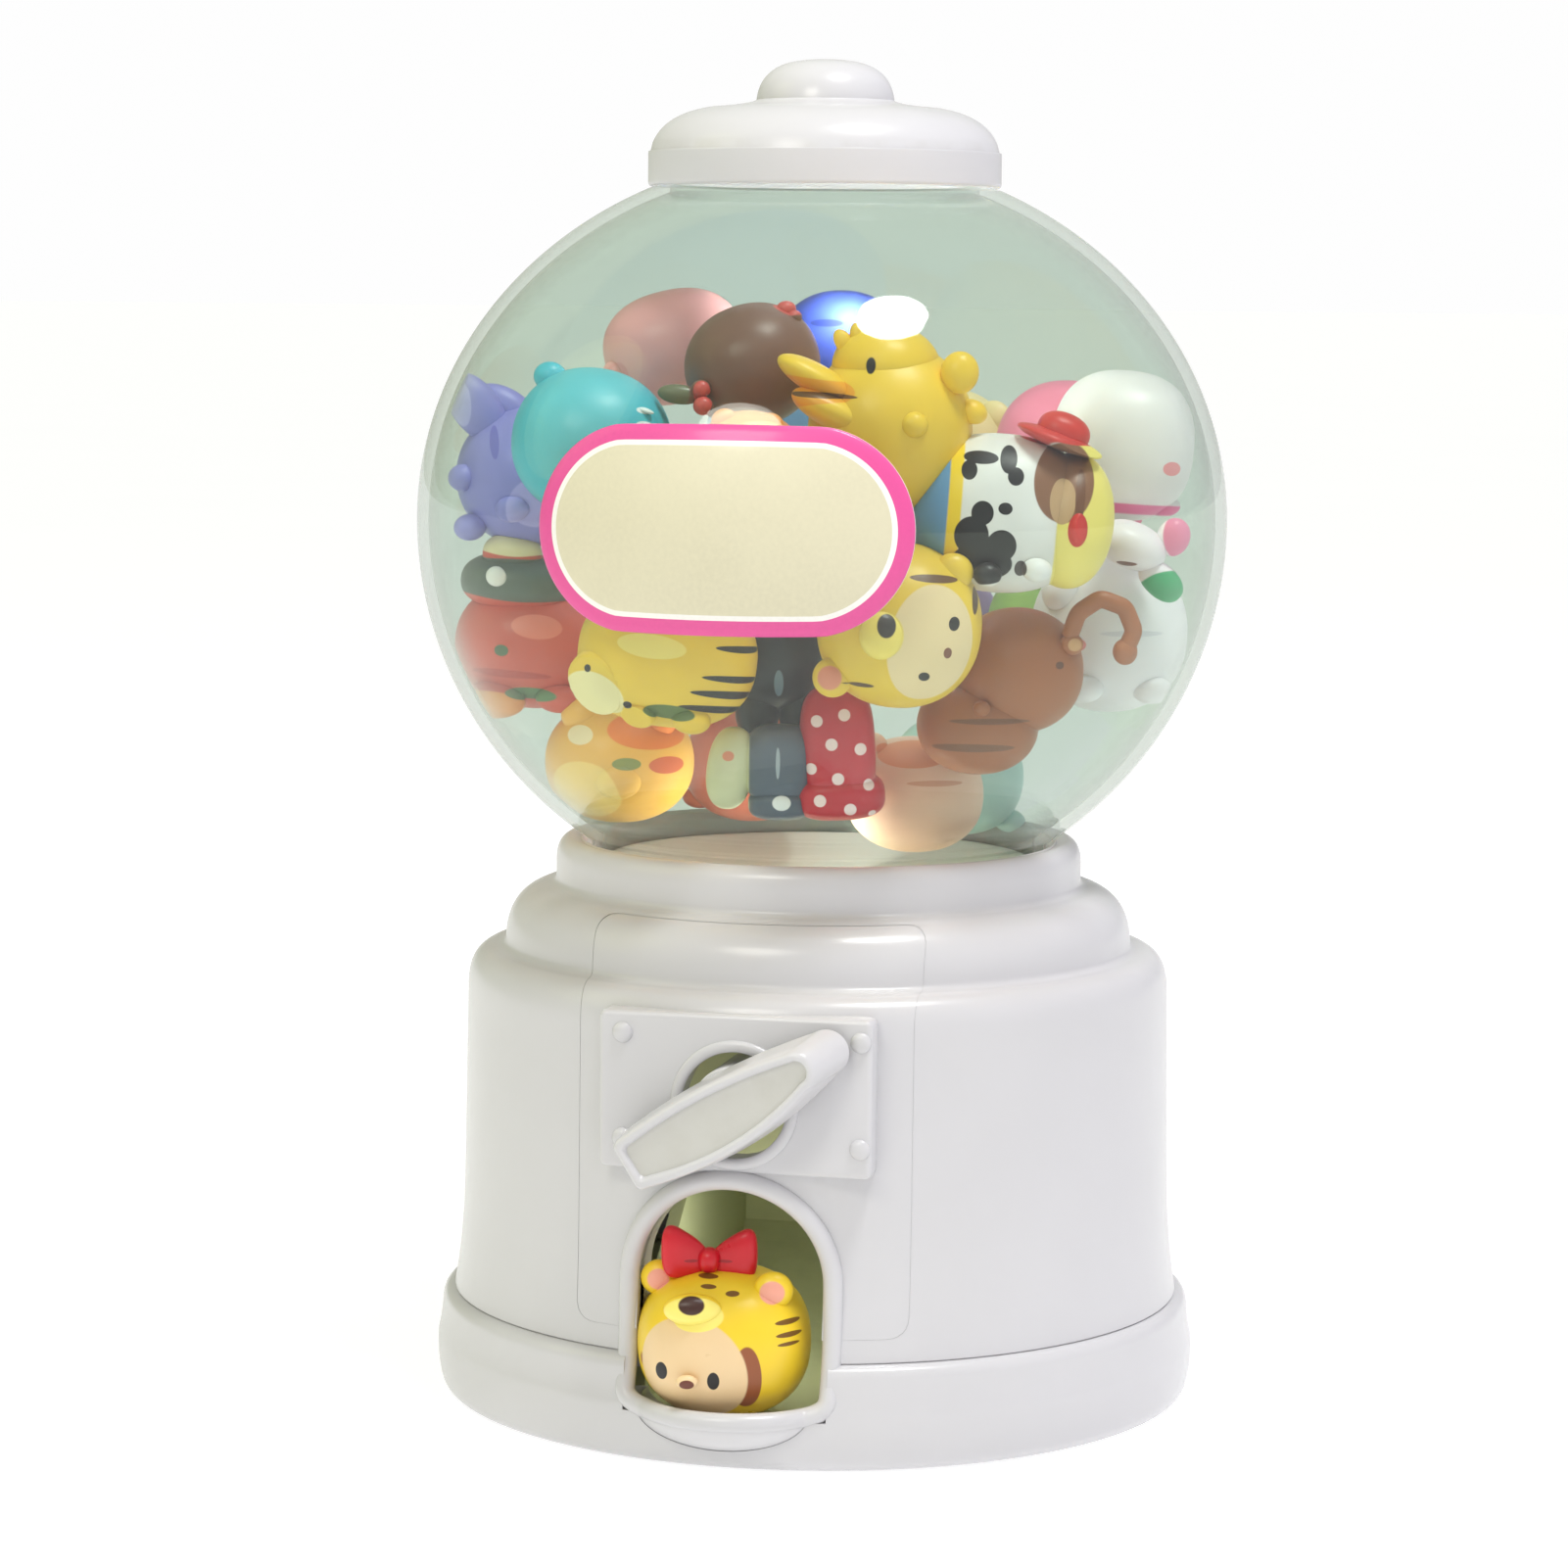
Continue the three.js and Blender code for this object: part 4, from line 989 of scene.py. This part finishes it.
# name, colour, lean, shift, forms as (centre, radii, power, tilt) or ("tube", points, radius), and
# paint as (colour, centre, radii)
FRONT_TOYS = [
    ("toy_lilac", (146, 146, 218), -6, (0, 0, 0), [
        ((0.4, 0, -1.4), (8.0, 7.8, 7.4), 0.96), ((-4.6, -2.2, 6.2), (2.5, 1.9, 4.3), 1, (0, -32, 0)),
        ((-1.6, -0.5, 5.6), (2.2, 1.8, 3.9), 1, (0, -52, 0)), ((-6.6, -4.2, -0.8), (1.5, 1.4, 1.4)),
        ((-6.4, -3.6, -6.0), (1.7, 1.5, 1.4)), ((-1.6, -7.0, -4.4), (1.8, 1.4, 1.4))], [
        ((176, 176, 232), (-6.0, -3.4, 6.8), (1.2, 1.6, 2.4)),
        ((172, 168, 230), (1.2, -8, -4.6), (3.4, 3, 3.2)),
        ((118, 116, 196), (-2.8, -6, 2.6), (0.5, 4, 1.8))]),
    ("toy_turquoise", (84, 196, 216), 8, (0, 0, 0), [
        ((0.3, 0, -0.4), (8.1, 8.0, 7.6), 0.95), ((-4.8, 0.5, 5.6), (1.7, 1.4, 1.5)),
        ((5.4, -4.9, 3.8), (0.85, 0.5, 0.26), 1, (0, 10, 0)),
        ((5.6, -5.3, 2.4), (0.95, 0.5, 0.28), 1, (0, 8, 0)), ((7.2, -1.5, -1.5), (1.5, 2.0, 2.2))], [
        ((236, 250, 252), (5.4, -5.2, 3.8), (0.95, 1.2, 0.34)),
        ((236, 250, 252), (5.6, -5.6, 2.4), (1.05, 1.2, 0.36)),
        ((60, 130, 190), (6.2, -6, -4.8), (2.2, 4, 2.6))]),
    ("toy_orange", (246, 160, 72), 0, (0, 0, 0), [
        ((1.8, 0, 0.6), (5.6, 5.5, 5.2), 0.96), ((4.0, -1.5, 4.4), (1.3, 0.9, 1.2), 1, (0, 30, 0)),
        ((-0.6, -1.5, 4.8), (1.3, 0.9, 1.2), 1, (0, -20, 0))], [
        # painted highlight: the lighter band over the orange toy's upper front
        ((252, 206, 130), (3.0, -4.0, 4.0), (2.4, 3.0, 0.9)),
        ((236, 132, 50), (-1.5, -4.6, 2.2), (1.6, 3.0, 0.5))]),
    ("toy_chick", (248, 208, 66), 3, (-0.8, 1.8, 0.4), [
        ((1.2, 0, -1.9), (8.2, 8.2, 8.6), 0.94), ((0.4, -0.8, 4.2), (5.4, 5.4, 4.2)),
        ((-6.4, -4.4, 2.6), (4.4, 3.0, 1.5), 1, (0, 26, 8)),
        ((-4.5, -4.6, -0.5), (4.6, 3.1, 1.7), 1, (0, 22, 8)),
        ((-3.9, -2.2, 6.3), (0.9, 0.8, 1.5), 1, (0, -36, 0)),
        ((-2.6, -2.2, 7.0), (0.8, 0.8, 1.4), 1, (0, -14, 0)),
        ((9.2, -2.4, 0.3), (1.5, 1.3, 1.2), 1, (0, 20, 0)), ((3.4, -7.6, -1.2), (1.35, 1.2, 1.3)),
        ((7.6, -4.6, 4.1), (1.9, 1.6, 2.1)), ((-1.8, -7.9, -6.4), (2.1, 1.6, 1.4))], [
        ((240, 168, 44), (-7.6, -4.8, 1.4), (5.6, 4.5, 1.6)),
        ((112, 76, 36), (-6.1, -6.9, 1.1), (3.8, 2.4, 0.3)), (INK, (-1.2, -6.2, 4.3), (0.5, 1.0, 0.85))]),
    ("toy_patchwork", (238, 238, 236), 4, (-1.4, -2.6, 0.3), [
        ((-2.6, 0, -0.4), (9.0, 7.4, 7.9), 0.86), ((4.4, 0, -0.6), (4.4, 6.6, 6.8), 0.95),
        ((2.6, -2.4, 7.3), (4.5, 4.2, 0.85), 1, (0, 17, 0)),
        ((2.9, -2.4, 8.2), (2.7, 2.5, 1.9), 0.9, (0, 17, 0)), ((1.2, -6.6, -5.4), (1.5, 1.3, 1.2)),
        ((-3.6, -6.8, -6.2), (1.4, 1.2, 1.2)), ((4.9, -6.2, -1.0), (0.9, 0.9, 1.6))], [
        ((250, 216, 44), (-11.6, 0, 0), (4.9, 0, 0)), ((104, 158, 208), (-13.2, 0, 0), (5.2, 0, 0)),
        (INK, (-4.3, -7, -5.2), (3.1, 4, 2.0)), (INK, (-5.5, -7, -2.5), (1.7, 4, 1.9)),
        (INK, (-2.5, -7, -3.3), (1.5, 4, 1.6)), (INK, (-4.6, -7, -0.2), (1.1, 4, 1.2)),
        (INK, (-2.4, -7, 0.4), (0.7, 4, 0.6)), (INK, (-5.2, -7, 5.2), (1.9, 4, 0.7)),
        (INK, (-6.2, -7, 3.9), (0.8, 4, 1.0)), (INK, (-2.4, -7, 5.4), (0.9, 4, 1.6)),
        (INK, (-1.6, -7, 3.6), (0.8, 4, 0.9)), ((84, 74, 72), (-0.4, -6.5, -5.4), (0.6, 4, 0.8)),
        ((242, 226, 122), (8.4, 0, -2.6), (5.6, 0, 0)), ((140, 96, 68), (3.2, 0, 3.4), (3.0, 0, 4.0)),
        ((196, 160, 118), (3.2, -7, 1.6), (1.3, 4, 2.4)), ((120, 78, 54), (4.9, -7, 2.4), (0.5, 4, 3.2)),
        ((216, 54, 48), (4.9, -7, -1.2), (1.0, 4, 1.7)), ((212, 62, 54), (2.8, -2.4, 9.0), (5.8, 6.5, 2.3))]),
    ("toy_white_upper", (240, 238, 236), 4, (0, 0, 0), [
        ((1.6, 0, -0.6), (7.4, 8.2, 7.8), 0.82), ((6.0, -2, -6.4), (2.0, 1.6, 1.2)),
        ((-2.2, -4, -6.6), (2.2, 1.8, 1.2))], [
        ((232, 120, 164), (0, 0, -6.9), (0, 0, 0.55)), (BLUSH, (6.2, -5, -2.4), (1.2, 3, 0.9))]),
    ("toy_pink", (242, 178, 180), 0, (0, 0, 0), [
        ((0.2, 0, 0.1), (7.4, 6.6, 5.9), 0.86, (0, -14, 0)), ((-5.6, -3.4, -2.6), (1.5, 1.2, 1.4))], [
        ((228, 156, 160), (-5.4, -4.4, -2.6), (1.2, 1.4, 1.1))]),
    ("toy_cocoa", (128, 94, 82), 0, (0, 0, 0), [
        ((0.0, 0, -0.5), (6.9, 6.9, 6.2), 0.95, (0, -18, 0)), ((3.4, -1.4, 5.2), (1.0, 0.9, 0.8)),
        ((4.2, -1.8, 4.4), (0.8, 0.8, 0.7)), ((-5.0, -5.2, -2.8), (1.0, 0.9, 0.9)),
        ((-4.8, -5.6, -4.5), (1.0, 0.9, 0.95)), ((-7.2, -4.6, -3.4), (2.2, 0.9, 1.0), 1, (0, 6, 0))], [
        ((206, 96, 92), (3.8, -1.6, 5.4), (1.7, 1.6, 1.1)),
        ((206, 88, 84), (-4.9, -6.2, -3.7), (1.1, 1.4, 1.9)),
        ((112, 116, 92), (-8.2, -4.6, -3.4), (2.2, 2.2, 1.6))]),
    ("toy_indigo", (62, 84, 182), 0, (0, 0, 0), [
        ((-0.8, 0, 0.2), (6.9, 6.7, 6.4), 0.92), ((-6.2, -2.4, -1.4), (1.4, 1.2, 1.4))], [
        ((36, 52, 130), (-2.4, -6.4, 3.2), (1.8, 2.6, 0.4))]),
    ("toy_coral", (218, 92, 70), 4, (0, 0, 0), [
        ((0.0, 0, -1.0), (8.0, 7.6, 6.6), 0.9), ((-1.7, -1.6, 5.6), (6.0, 5.6, 3.1), 0.85),
        ((-2.4, -3.6, 8.6), (3.1, 2.4, 2.2), 0.9), ((-3.7, -7.0, 6.4), (1.05, 0.55, 1.05)),
        ((-3.2, -5.4, -6.6), (3.4, 2.4, 1.9)), ((3.6, -5.6, -5.9), (2.4, 1.8, 1.5))], [
        ((90, 104, 92), (-1.6, -2, 6.0), (7.5, 8, 2.6)), ((232, 222, 176), (-2.4, -3.6, 10.4), (4.2, 4, 2.4)),
        ((238, 238, 232), (-3.7, -7.6, 6.4), (1.15, 1.4, 1.15)),
        ((74, 108, 66), (-2.6, -7.6, -1.2), (0.75, 2.4, 0.6)),
        ((188, 66, 52), (-2.0, -7.0, -3.6), (4.8, 3.0, 0.42)),
        ((236, 160, 74), (-3.4, -6, -7.2), (4.0, 4, 1.8)),
        ((92, 132, 84), (0.8, -6.6, -5.6), (2.8, 2.5, 0.7)),
        ((234, 128, 104), (1.0, -8, 1.6), (3.0, 2.6, 1.4))]),
    ("toy_striped", (246, 206, 58), 7, (0, 0, 0), [
        ((0.6, 0, 0.2), (9.0, 7.6, 7.0), 0.86), ((-5.6, -3.6, -2.8), (3.4, 3.4, 3.4)),
        ((-6.2, -2.4, 4.4), (1.6, 1.2, 1.7)), ((3.8, -4.6, -5.4), (2.0, 1.8, 1.4)),
        ((-1.4, -5.2, -5.6), (1.8, 1.6, 1.2))], [
        ((246, 232, 172), (-6.4, -4.6, -4.4), (3.6, 4, 2.6)), (INK, (-7.0, -7, -1.6), (0.45, 3, 0.55)),
        (INK, (-2.6, -7, -4.6), (0.5, 3, 0.4)), (INK, (8.2, -5, -0.8), (4.2, 5, 0.36)),
        (INK, (8.0, -5, -2.4), (5.0, 5, 0.42)), (INK, (7.8, -5, -4.0), (5.6, 5, 0.42)),
        (INK, (8.6, -5, 2.2), (3.4, 5, 0.36)), ((96, 118, 56), (1.6, -6.6, -4.8), (2.6, 3, 0.8)),
        ((250, 228, 120), (-1.0, -8, 1.6), (3.6, 3.6, 1.2))]),
    ("toy_cub", (246, 208, 62), 4, (0, 0, 0), [
        ((0.2, 0, 0.2), (8.2, 8.0, 8.2), 0.93), ((-6.0, -3.4, -5.2), (2.0, 1.3, 2.0)),
        ((5.0, -2.8, 6.0), (2.0, 1.3, 1.9)), ((-1.6, -7.4, -0.4), (2.2, 1.4, 2.4))], [
        ((240, 216, 168), (3.6, -7.2, -1.4), (4.6, 5.5, 6.4)),
        ((250, 226, 110), (-1.7, -8.4, -0.4), (2.3, 2.0, 2.5)),
        ((50, 40, 36), (-1.2, -8.8, 0.7), (0.95, 1.6, 1.25)), (INK, (5.4, -6.4, 1.2), (0.55, 2.5, 0.7)),
        (INK, (2.9, -7.6, -4.2), (0.62, 2.5, 0.5)), ((132, 80, 60), (5.0, -7.0, -1.7), (0.42, 2.5, 0.55)),
        ((112, 76, 40), (3.2, -5.6, 5.4), (2.6, 3, 0.4)),
        ((236, 150, 120), (-6.3, -4.4, -5.2), (1.2, 1.4, 1.2)),
        ((96, 66, 40), (-3.8, -6.4, -5.6), (2.0, 2.4, 0.3)),
        ((96, 66, 40), (-3.2, -6.6, -6.6), (1.8, 2.4, 0.28)),
        ((96, 66, 40), (7.4, -3, 3.8), (0.35, 3, 1.8))]),
    ("toy_black", (16, 20, 34), 0, (0, 0, 0), [
        ((-2.6, 0, -0.8), (5.6, 6.2, 7.0), 0.85), ((-4.2, -1.6, -7.2), (2.3, 2.4, 3.8), 0.9),
        ((0.2, -1.4, -7.4), (2.3, 2.2, 3.2), 0.9)], [
        ((120, 146, 160), (-2.0, -6.4, -4.6), (0.5, 3, 1.5))]),
    ("toy_nut", (172, 104, 60), 0, (0, 0, 0), [
        ((-0.7, -0.4, 2.4), (6.8, 6.8, 6.4), 0.96), ((-4.6, -0.6, -3.2), (6.2, 6.0, 5.0), 0.95),
        ((-4.4, -6.2, -1.0), (0.9, 0.8, 0.8)), ((4.6, -4.4, 5.4), (1.2, 1.0, 1.1)),
        ("tube", [(4.4, -4.2, 6.2), (5.2, -4.6, 8.6), (7.4, -4.8, 10.1), (9.9, -4.6, 9.2), (10.9, -4.2, 6.8),
                  (10.0, -4.2, 4.8)], 0.9),
        ((10.0, -4.2, 4.7), (1.25, 1.1, 1.35))], [
        ((112, 68, 44), (3.4, -6.4, 3.4), (0.45, 2, 0.4)),
        ((206, 160, 112), (4.9, -5.2, 5.4), (0.7, 1.2, 0.65)),
        ((128, 80, 48), (-5.5, -6, -5.0), (4.6, 3.5, 0.42)),
        ((128, 80, 48), (-3.5, -6, -2.3), (4.2, 3.5, 0.3))]),
    ("toy_white_lower", (240, 240, 242), 0, (0, 0, 0), [
        ((0.4, 0, 0.2), (8.2, 8.2, 8.4), 0.92), ((-4.8, -4.6, 4.6), (2.2, 2.0, 2.2)),
        ((-2.6, -6.6, -5.2), (2.1, 1.7, 1.5)), ((4.6, -5.2, -5.4), (2.1, 1.7, 1.5))], [
        ((214, 216, 222), (2.2, -7.4, 0.6), (3.4, 3.0, 0.32)), (BLUSH, (-3.4, -7, -0.6), (1.0, 2.5, 0.7))]),
    ("toy_blossom", (244, 238, 242), 0, (0, 0, 0), [
        ((-0.6, 0, 0.4), (3.7, 3.6, 2.4), 0.95, (0, 22, 0)),
        ((3.6, -0.6, 1.3), (1.7, 1.2, 2.0), 1, (0, 20, 0)),
        ((2.4, -0.4, -3.2), (2.6, 1.6, 1.7), 0.9, (0, 42, 0))], [
        ((236, 136, 172), (4.2, -0.8, 1.4), (1.8, 2.5, 2.3)),
        ((44, 168, 106), (2.8, -0.6, -4.0), (2.6, 3, 2.0)),
        ((120, 76, 62), (-2.6, -2.8, -1.4), (2.4, 1.5, 0.34))]),
    ("toy_red", (206, 34, 54), -3, (0, 0, 0), [
        ((-1.4, 0, 1.2), (3.8, 4.3, 6.4), 0.62), ((-1.4, 0, -3.6), (4.6, 4.6, 2.4), 0.7)], RED_DOTS),
    ("toy_slate", (92, 104, 122), 0, (0, 0, 0), [
        ((4.6, 0, 1.0), (3.6, 3.6, 4.0), 0.62), ((4.6, -0.4, -3.0), (3.2, 3.2, 1.6), 0.7),
        ((-0.4, -0.6, 0.6), (2.4, 2.2, 4.2), 0.85, (0, 8, 0))], [
        ((216, 218, 180), (-1.8, 0, 0), (3.3, 0, 0)), ((232, 150, 120), (-0.6, -2.8, 2.0), (0.6, 1.4, 0.5)),
        ((240, 244, 246), (4.8, -3.9, -2.6), (0.95, 1.6, 0.8)),
        ((170, 182, 192), (4.4, -3.7, 1.4), (0.22, 1.2, 1.6))]),
    ("toy_peach", (240, 204, 176), 0, (0, 0, 0), [
        ((0.6, 0, -0.4), (7.2, 6.8, 6.0), 0.9), ((5.4, -2, 4.0), (1.6, 1.3, 1.6)),
        ((-3.8, -2, 4.6), (1.6, 1.3, 1.6))], [
        ((226, 150, 108), (0.2, -6, 4.6), (4.6, 4.6, 1.7)),
        ((214, 164, 134), (2.6, -6, 1.4), (3.0, 2.6, 0.3))]),
    ("toy_apricot", (250, 192, 84), 0, (0, 0, 0), [
        ((-0.6, 0, 0.2), (7.8, 7.2, 6.4), 0.92), ((-4.4, -2.6, 5.2), (2.2, 1.8, 1.9)),
        ((3.4, -3.4, 4.6), (2.0, 1.7, 1.8)), ((-0.4, -6.4, -1.2), (2.4, 1.4, 1.9))], [
        ((246, 136, 48), (2.4, -4, 3.8), (4.4, 5, 2.0)), ((252, 214, 120), (-4.2, -6, -2.6), (4.2, 4, 3.4)),
        ((214, 104, 58), (4.6, -5.6, 0.4), (2.0, 3.0, 0.9)),
        ((250, 232, 190), (-4.4, -5, 3.4), (1.4, 3, 1.0)), ((140, 150, 70), (0.4, -6, 0.6), (1.6, 3, 0.7))]),
    ("toy_mint", (196, 226, 208), 0, (0, 0, 0), [
        ((0, 0, -0.6), (8.0, 8.0, 7.2), 0.92), ((-4.6, -1, 5.8), (2.0, 1.4, 2.0)),
        ((4.6, -1, 5.8), (2.0, 1.4, 2.0))], [
        ((222, 240, 226), (0, -7.5, -4.4), (4.2, 3.4, 2.6))]),
]


def make_front_toys():
    for name, colour, lean, shift, forms, paint in FRONT_TOYS:
        pieces = [bent_tube(*form[1:]) if form[0] == "tube" else ball(*form) for form in forms]
        settle(name, pieces, colour, paint, lean=lean, shift=shift)


make_front_toys()


def ears(kind):
    if kind == "none":
        return []
    if kind == "long":
        return [ball((side * 2.8, 0.6, 6.6), (1.5, 1.1, 3.2), 1, (0, side * 16, 0)) for side in (-1, 1)]
    if kind == "pointed":
        return [ball((side * 4.6, 0, 6.2), (1.7, 1.0, 2.4), 1.25, (0, side * 26, 0)) for side in (-1, 1)]
    if kind == "crest":
        return [ball((x, 0.2, 7.4), (0.8, 0.8, 1.6), 1, (0, x * 22, 0)) for x in (-0.9, 0, 0.9)]
    return [ball((side * 5.4, 0.2, 5.2), (2.1, 1.2, 2.1)) for side in (-1, 1)]


def make_back_toys():
    """Toys seen mostly from the sides and the back: plain animals that face out of the globe."""
    kinds = [("toy_back_1", (232, 138, 162), "none", 130), ("toy_back_2", (243, 226, 166), "round", 166),
             ("toy_back_3", (127, 180, 224), "pointed", 202), ("toy_back_4", (185, 138, 98), "round", 246),
             ("toy_back_5", (154, 196, 106), "crest", 132), ("toy_back_6", (185, 162, 220), "long", 168),
             ("toy_back_7", (242, 193, 74), "pointed", 204), ("toy_back_8", (236, 230, 220), "round", 246),
             ("toy_low_1", (176, 216, 208), "none", 128), ("toy_low_2", (224, 128, 108), "round", 218)]
    for node, colour, kind, turn in kinds:
        low, high = node_box(node)
        tall = (high[2] - low[2]) / 2
        wide = 8.0 if "low" not in node else 7.2
        body = ball((0, 0, -0.6), (wide, wide * 0.96, tall - 0.8), 0.9)
        snout = ball((0, -wide * 0.93, -1.6), (2.0, 1.2, 1.5))
        feet = [ball((side * 3.6, -wide * 0.72, -tall + 2.2), (1.9, 1.7, 1.2)) for side in (-1, 1)]
        pale = tuple(int(c + (255 - c) * 0.5) for c in colour)
        paint = [(pale, (0, -wide, -1.6), (4.6, 3.4, 4.2)), (pale, (0, -wide * 1.08, -1.6), (2.1, 1.7, 1.6))]
        paint += eyes(0, -wide, 0.6, 2.9) + blush(0, -wide, -1.4, 4.3)
        settle(node, [body, snout] + feet + ears(kind), colour, paint, turn, random.uniform(-16, 16))


make_back_toys()


def make_delivered_toy():
    """A small pale face under a striped yellow hood with its own muzzle, and a red bow; in the tray."""
    pieces = [ball((0, 0, -0.9), (8.7, 8.4, 7.5), 0.86, fine=1.4),
              ball((-6.5, -0.4, 5.4), (1.9, 1.2, 1.8)), ball((4.9, -4.2, 5.0), (2.0, 1.3, 1.9)),
              ball((-3.5, -8.4, -3.3), (1.1, 0.6, 0.7)), ball((-3.0, -6.8, 3.6), (2.9, 1.5, 1.6))]
    brown, bronze, rose = (150, 84, 48), (120, 82, 30), (240, 168, 148)
    head = settle("toy_delivered", pieces, (248, 212, 48), [
        (brown, (-9.4, -5.4, -2.6), (1.7, 3.2, 2.9)), (brown, (2.4, -8.2, -3.4), (1.5, 3.2, 3.6)),
        ((236, 206, 160), (-3.8, -8.0, -3.2), (6.3, 6.0, 6.2)),
        ((250, 232, 120), (-3.0, -8.0, 3.3), (3.2, 2.0, 1.75)),
        ((66, 38, 30), (-3.1, -8.2, 4.3), (1.3, 1.5, 0.95)),
        (INK, (-6.1, -7.0, -2.7), (0.62, 2.4, 0.95)), (INK, (-0.9, -8.6, -3.3), (0.62, 2.4, 0.95)),
        ((110, 60, 46), (-3.5, -9.2, -3.5), (0.75, 1.6, 0.5)),
        (bronze, (-4.6, -6.2, 6.1), (0.7, 2.4, 0.24)), (bronze, (0.9, -6.2, 5.0), (0.7, 2.4, 0.24)),
        (bronze, (-1.7, -4.6, 6.2), (1.3, 2.6, 0.2)), (bronze, (-1.5, -5.4, 5.5), (0.8, 2.6, 0.18)),
        (bronze, (6.5, -5.6, 2.2), (1.5, 2.6, 0.26)), (bronze, (6.5, -5.6, 1.0), (1.5, 2.6, 0.26)),
        (bronze, (6.4, -5.6, 0.1), (1.2, 2.6, 0.2)),
        (rose, (-6.6, -1.4, 5.4), (1.1, 1.1, 1.05)), (rose, (4.8, -5.3, 5.0), (1.25, 1.2, 1.15))],
        roughness=0.34, shift=(-0.5, 1.2, 0.6))
    bow = []
    for side in (-1, 1):
        lobe = ball((side * 2.4, 0, 0), (2.4, 1.3, 3.1), 0.7, fine=1.3)
        for vertex in lobe.data.vertices:
            reach = max(0.0, min(1.0, vertex.co.x / MM * side / 4.6))
            pinch = 0.42 + 0.6 * reach
            vertex.co.z = (vertex.co.z / MM * pinch + 0.9 * reach) * MM
            vertex.co.y *= pinch
            vertex.co += Vector((-1.5, -1.6, 7.4 - side * 0.15)) * MM
        bow.append(lobe)
    bow.append(ball((-1.5, -1.9, 7.5), (1.1, 1.3, 1.3), 0.9))
    ribbon = joined("delivered_bow", bow)
    ribbon.matrix_world = head.matrix_world
    # painted shade: darker red lines along the bow's folds beside the knot
    fold_shade = [((158, 14, 30), (-1.6 + side * 1.7, -2.6, 7.5), (0.7, 1.6, 0.16)) for side in (-1, 1)]
    red = vinyl("bow_vinyl", linear(214, 26, 44), [(linear(*t), c, r) for t, c, r in fold_shade], 0.32)
    dress(ribbon, red, "base", "vinyl_red")


make_delivered_toy()


# ---------------------------------------------------------------- floor, light
def make_stage():
    material, nodes, links, shader, where = new_material("floor_card")
    drift = ramp(nodes, links, noise(nodes, links, where, 6, 3), 0.3, 0.7)
    tone = blend_colour(nodes, links, drift, (0.49, 0.49, 0.49), (0.5, 0.5, 0.5))
    links.new(tone, shader.inputs["Base Color"])
    preset(shader, Roughness=0.75, Emission_Color=(1, 1, 1, 1), Emission_Strength=0.68)
    half = 30000
    corners = [(-half, -half, -0.2), (half, -half, -0.2), (half, half, -0.2), (-half, half, -0.2)]
    floor = add_object("floor", corners, [(0, 1, 2, 3)], [material], smooth=False)


def soft_light(name, azimuth, elevation, distance, size, power, colour=(1, 1, 1), target=(0, 0, 0.09)):
    data = bpy.data.lights.new(name, "AREA")
    data.shape = "ELLIPSE"
    data.size, data.size_y = size
    data.energy = power
    data.color = colour
    light = bpy.data.objects.new(name, data)
    a, e = math.radians(azimuth), math.radians(elevation)
    aim = Vector(target)
    away = Vector((math.sin(a) * math.cos(e), -math.cos(a) * math.cos(e), math.sin(e)))
    light.location = aim + distance * away
    light.rotation_euler = (aim - light.location).to_track_quat("-Z", "Y").to_euler()
    bpy.context.scene.collection.objects.link(light)


def make_light():
    world = bpy.data.worlds.new("studio")
    bpy.context.scene.world = world
    world.use_nodes = True
    nodes, links = world.node_tree.nodes, world.node_tree.links
    sky = nodes["Background"]
    direction = nodes.new("ShaderNodeSeparateXYZ")
    links.new(nodes.new("ShaderNodeTexCoord").outputs["Generated"], direction.inputs[0])
    side = ramp(nodes, links, direction.outputs["X"], -0.9, 0.5)
    links.new(blend_colour(nodes, links, side, (0.80, 0.84, 0.60), (1.0, 0.99, 1.06)), sky.inputs["Color"])
    preset(sky, Strength=0.62)
    seen = nodes.new("ShaderNodeBackground")
    preset(seen, Color=(1, 1, 1, 1), Strength=0.99)
    path = nodes.new("ShaderNodeLightPath")
    mix = nodes.new("ShaderNodeMixShader")
    links.new(path.outputs["Is Camera Ray"], mix.inputs["Fac"])
    links.new(sky.outputs[0], mix.inputs[1])
    links.new(seen.outputs[0], mix.inputs[2])
    links.new(mix.outputs[0], nodes["World Output"].inputs["Surface"])
    soft_light("key", 57, 69, 0.6, (0.17, 0.13), 2.5)
    soft_light("right_fill", 75, 20, 0.9, (0.5, 0.6), 0.2, (0.93, 0.92, 1.0))
    soft_light("left_fill", -70, 28, 0.7, (0.4, 0.5), 0.4, (0.99, 1.0, 0.35), (0, 0, 0.12))
    soft_light("lid_fill", -12, 26, 0.35, (0.14, 0.1), 0.3, (1.0, 0.97, 0.88), (0, 0, 0.135))
    # light that the thin walls let through, from places out of sight: behind the front wall beside
    # the arch, above the heap and under it
    for name, place, power, tone in (
            ("case_left", (-13.0, -28.0, 27), 0.001, (1.0, 0.99, 0.86)),
            ("case_right", (11.5, -28.5, 25), 0.0016, (0.94, 1.0, 0.9)),
            ("chute", (-1.0, -17.5, 18.5), 0.0042, (0.98, 1.0, 0.92)),
            ("heap_top", (4, -4, 115), 0.021, (1, 1, 1)),
            ("heap_under", (0, -12, 59), 0.011, (1.0, 0.98, 0.92))):
        data = bpy.data.lights.new(name, "POINT")
        data.energy, data.color, data.shadow_soft_size = power, tone, 0.004
        glow = bpy.data.objects.new(name, data)
        glow.location = Vector(place) * MM
        glow.visible_camera = glow.visible_glossy = False
        bpy.context.scene.collection.objects.link(glow)


make_stage()
make_light()
bpy.context.scene.view_settings.view_transform = "Standard"
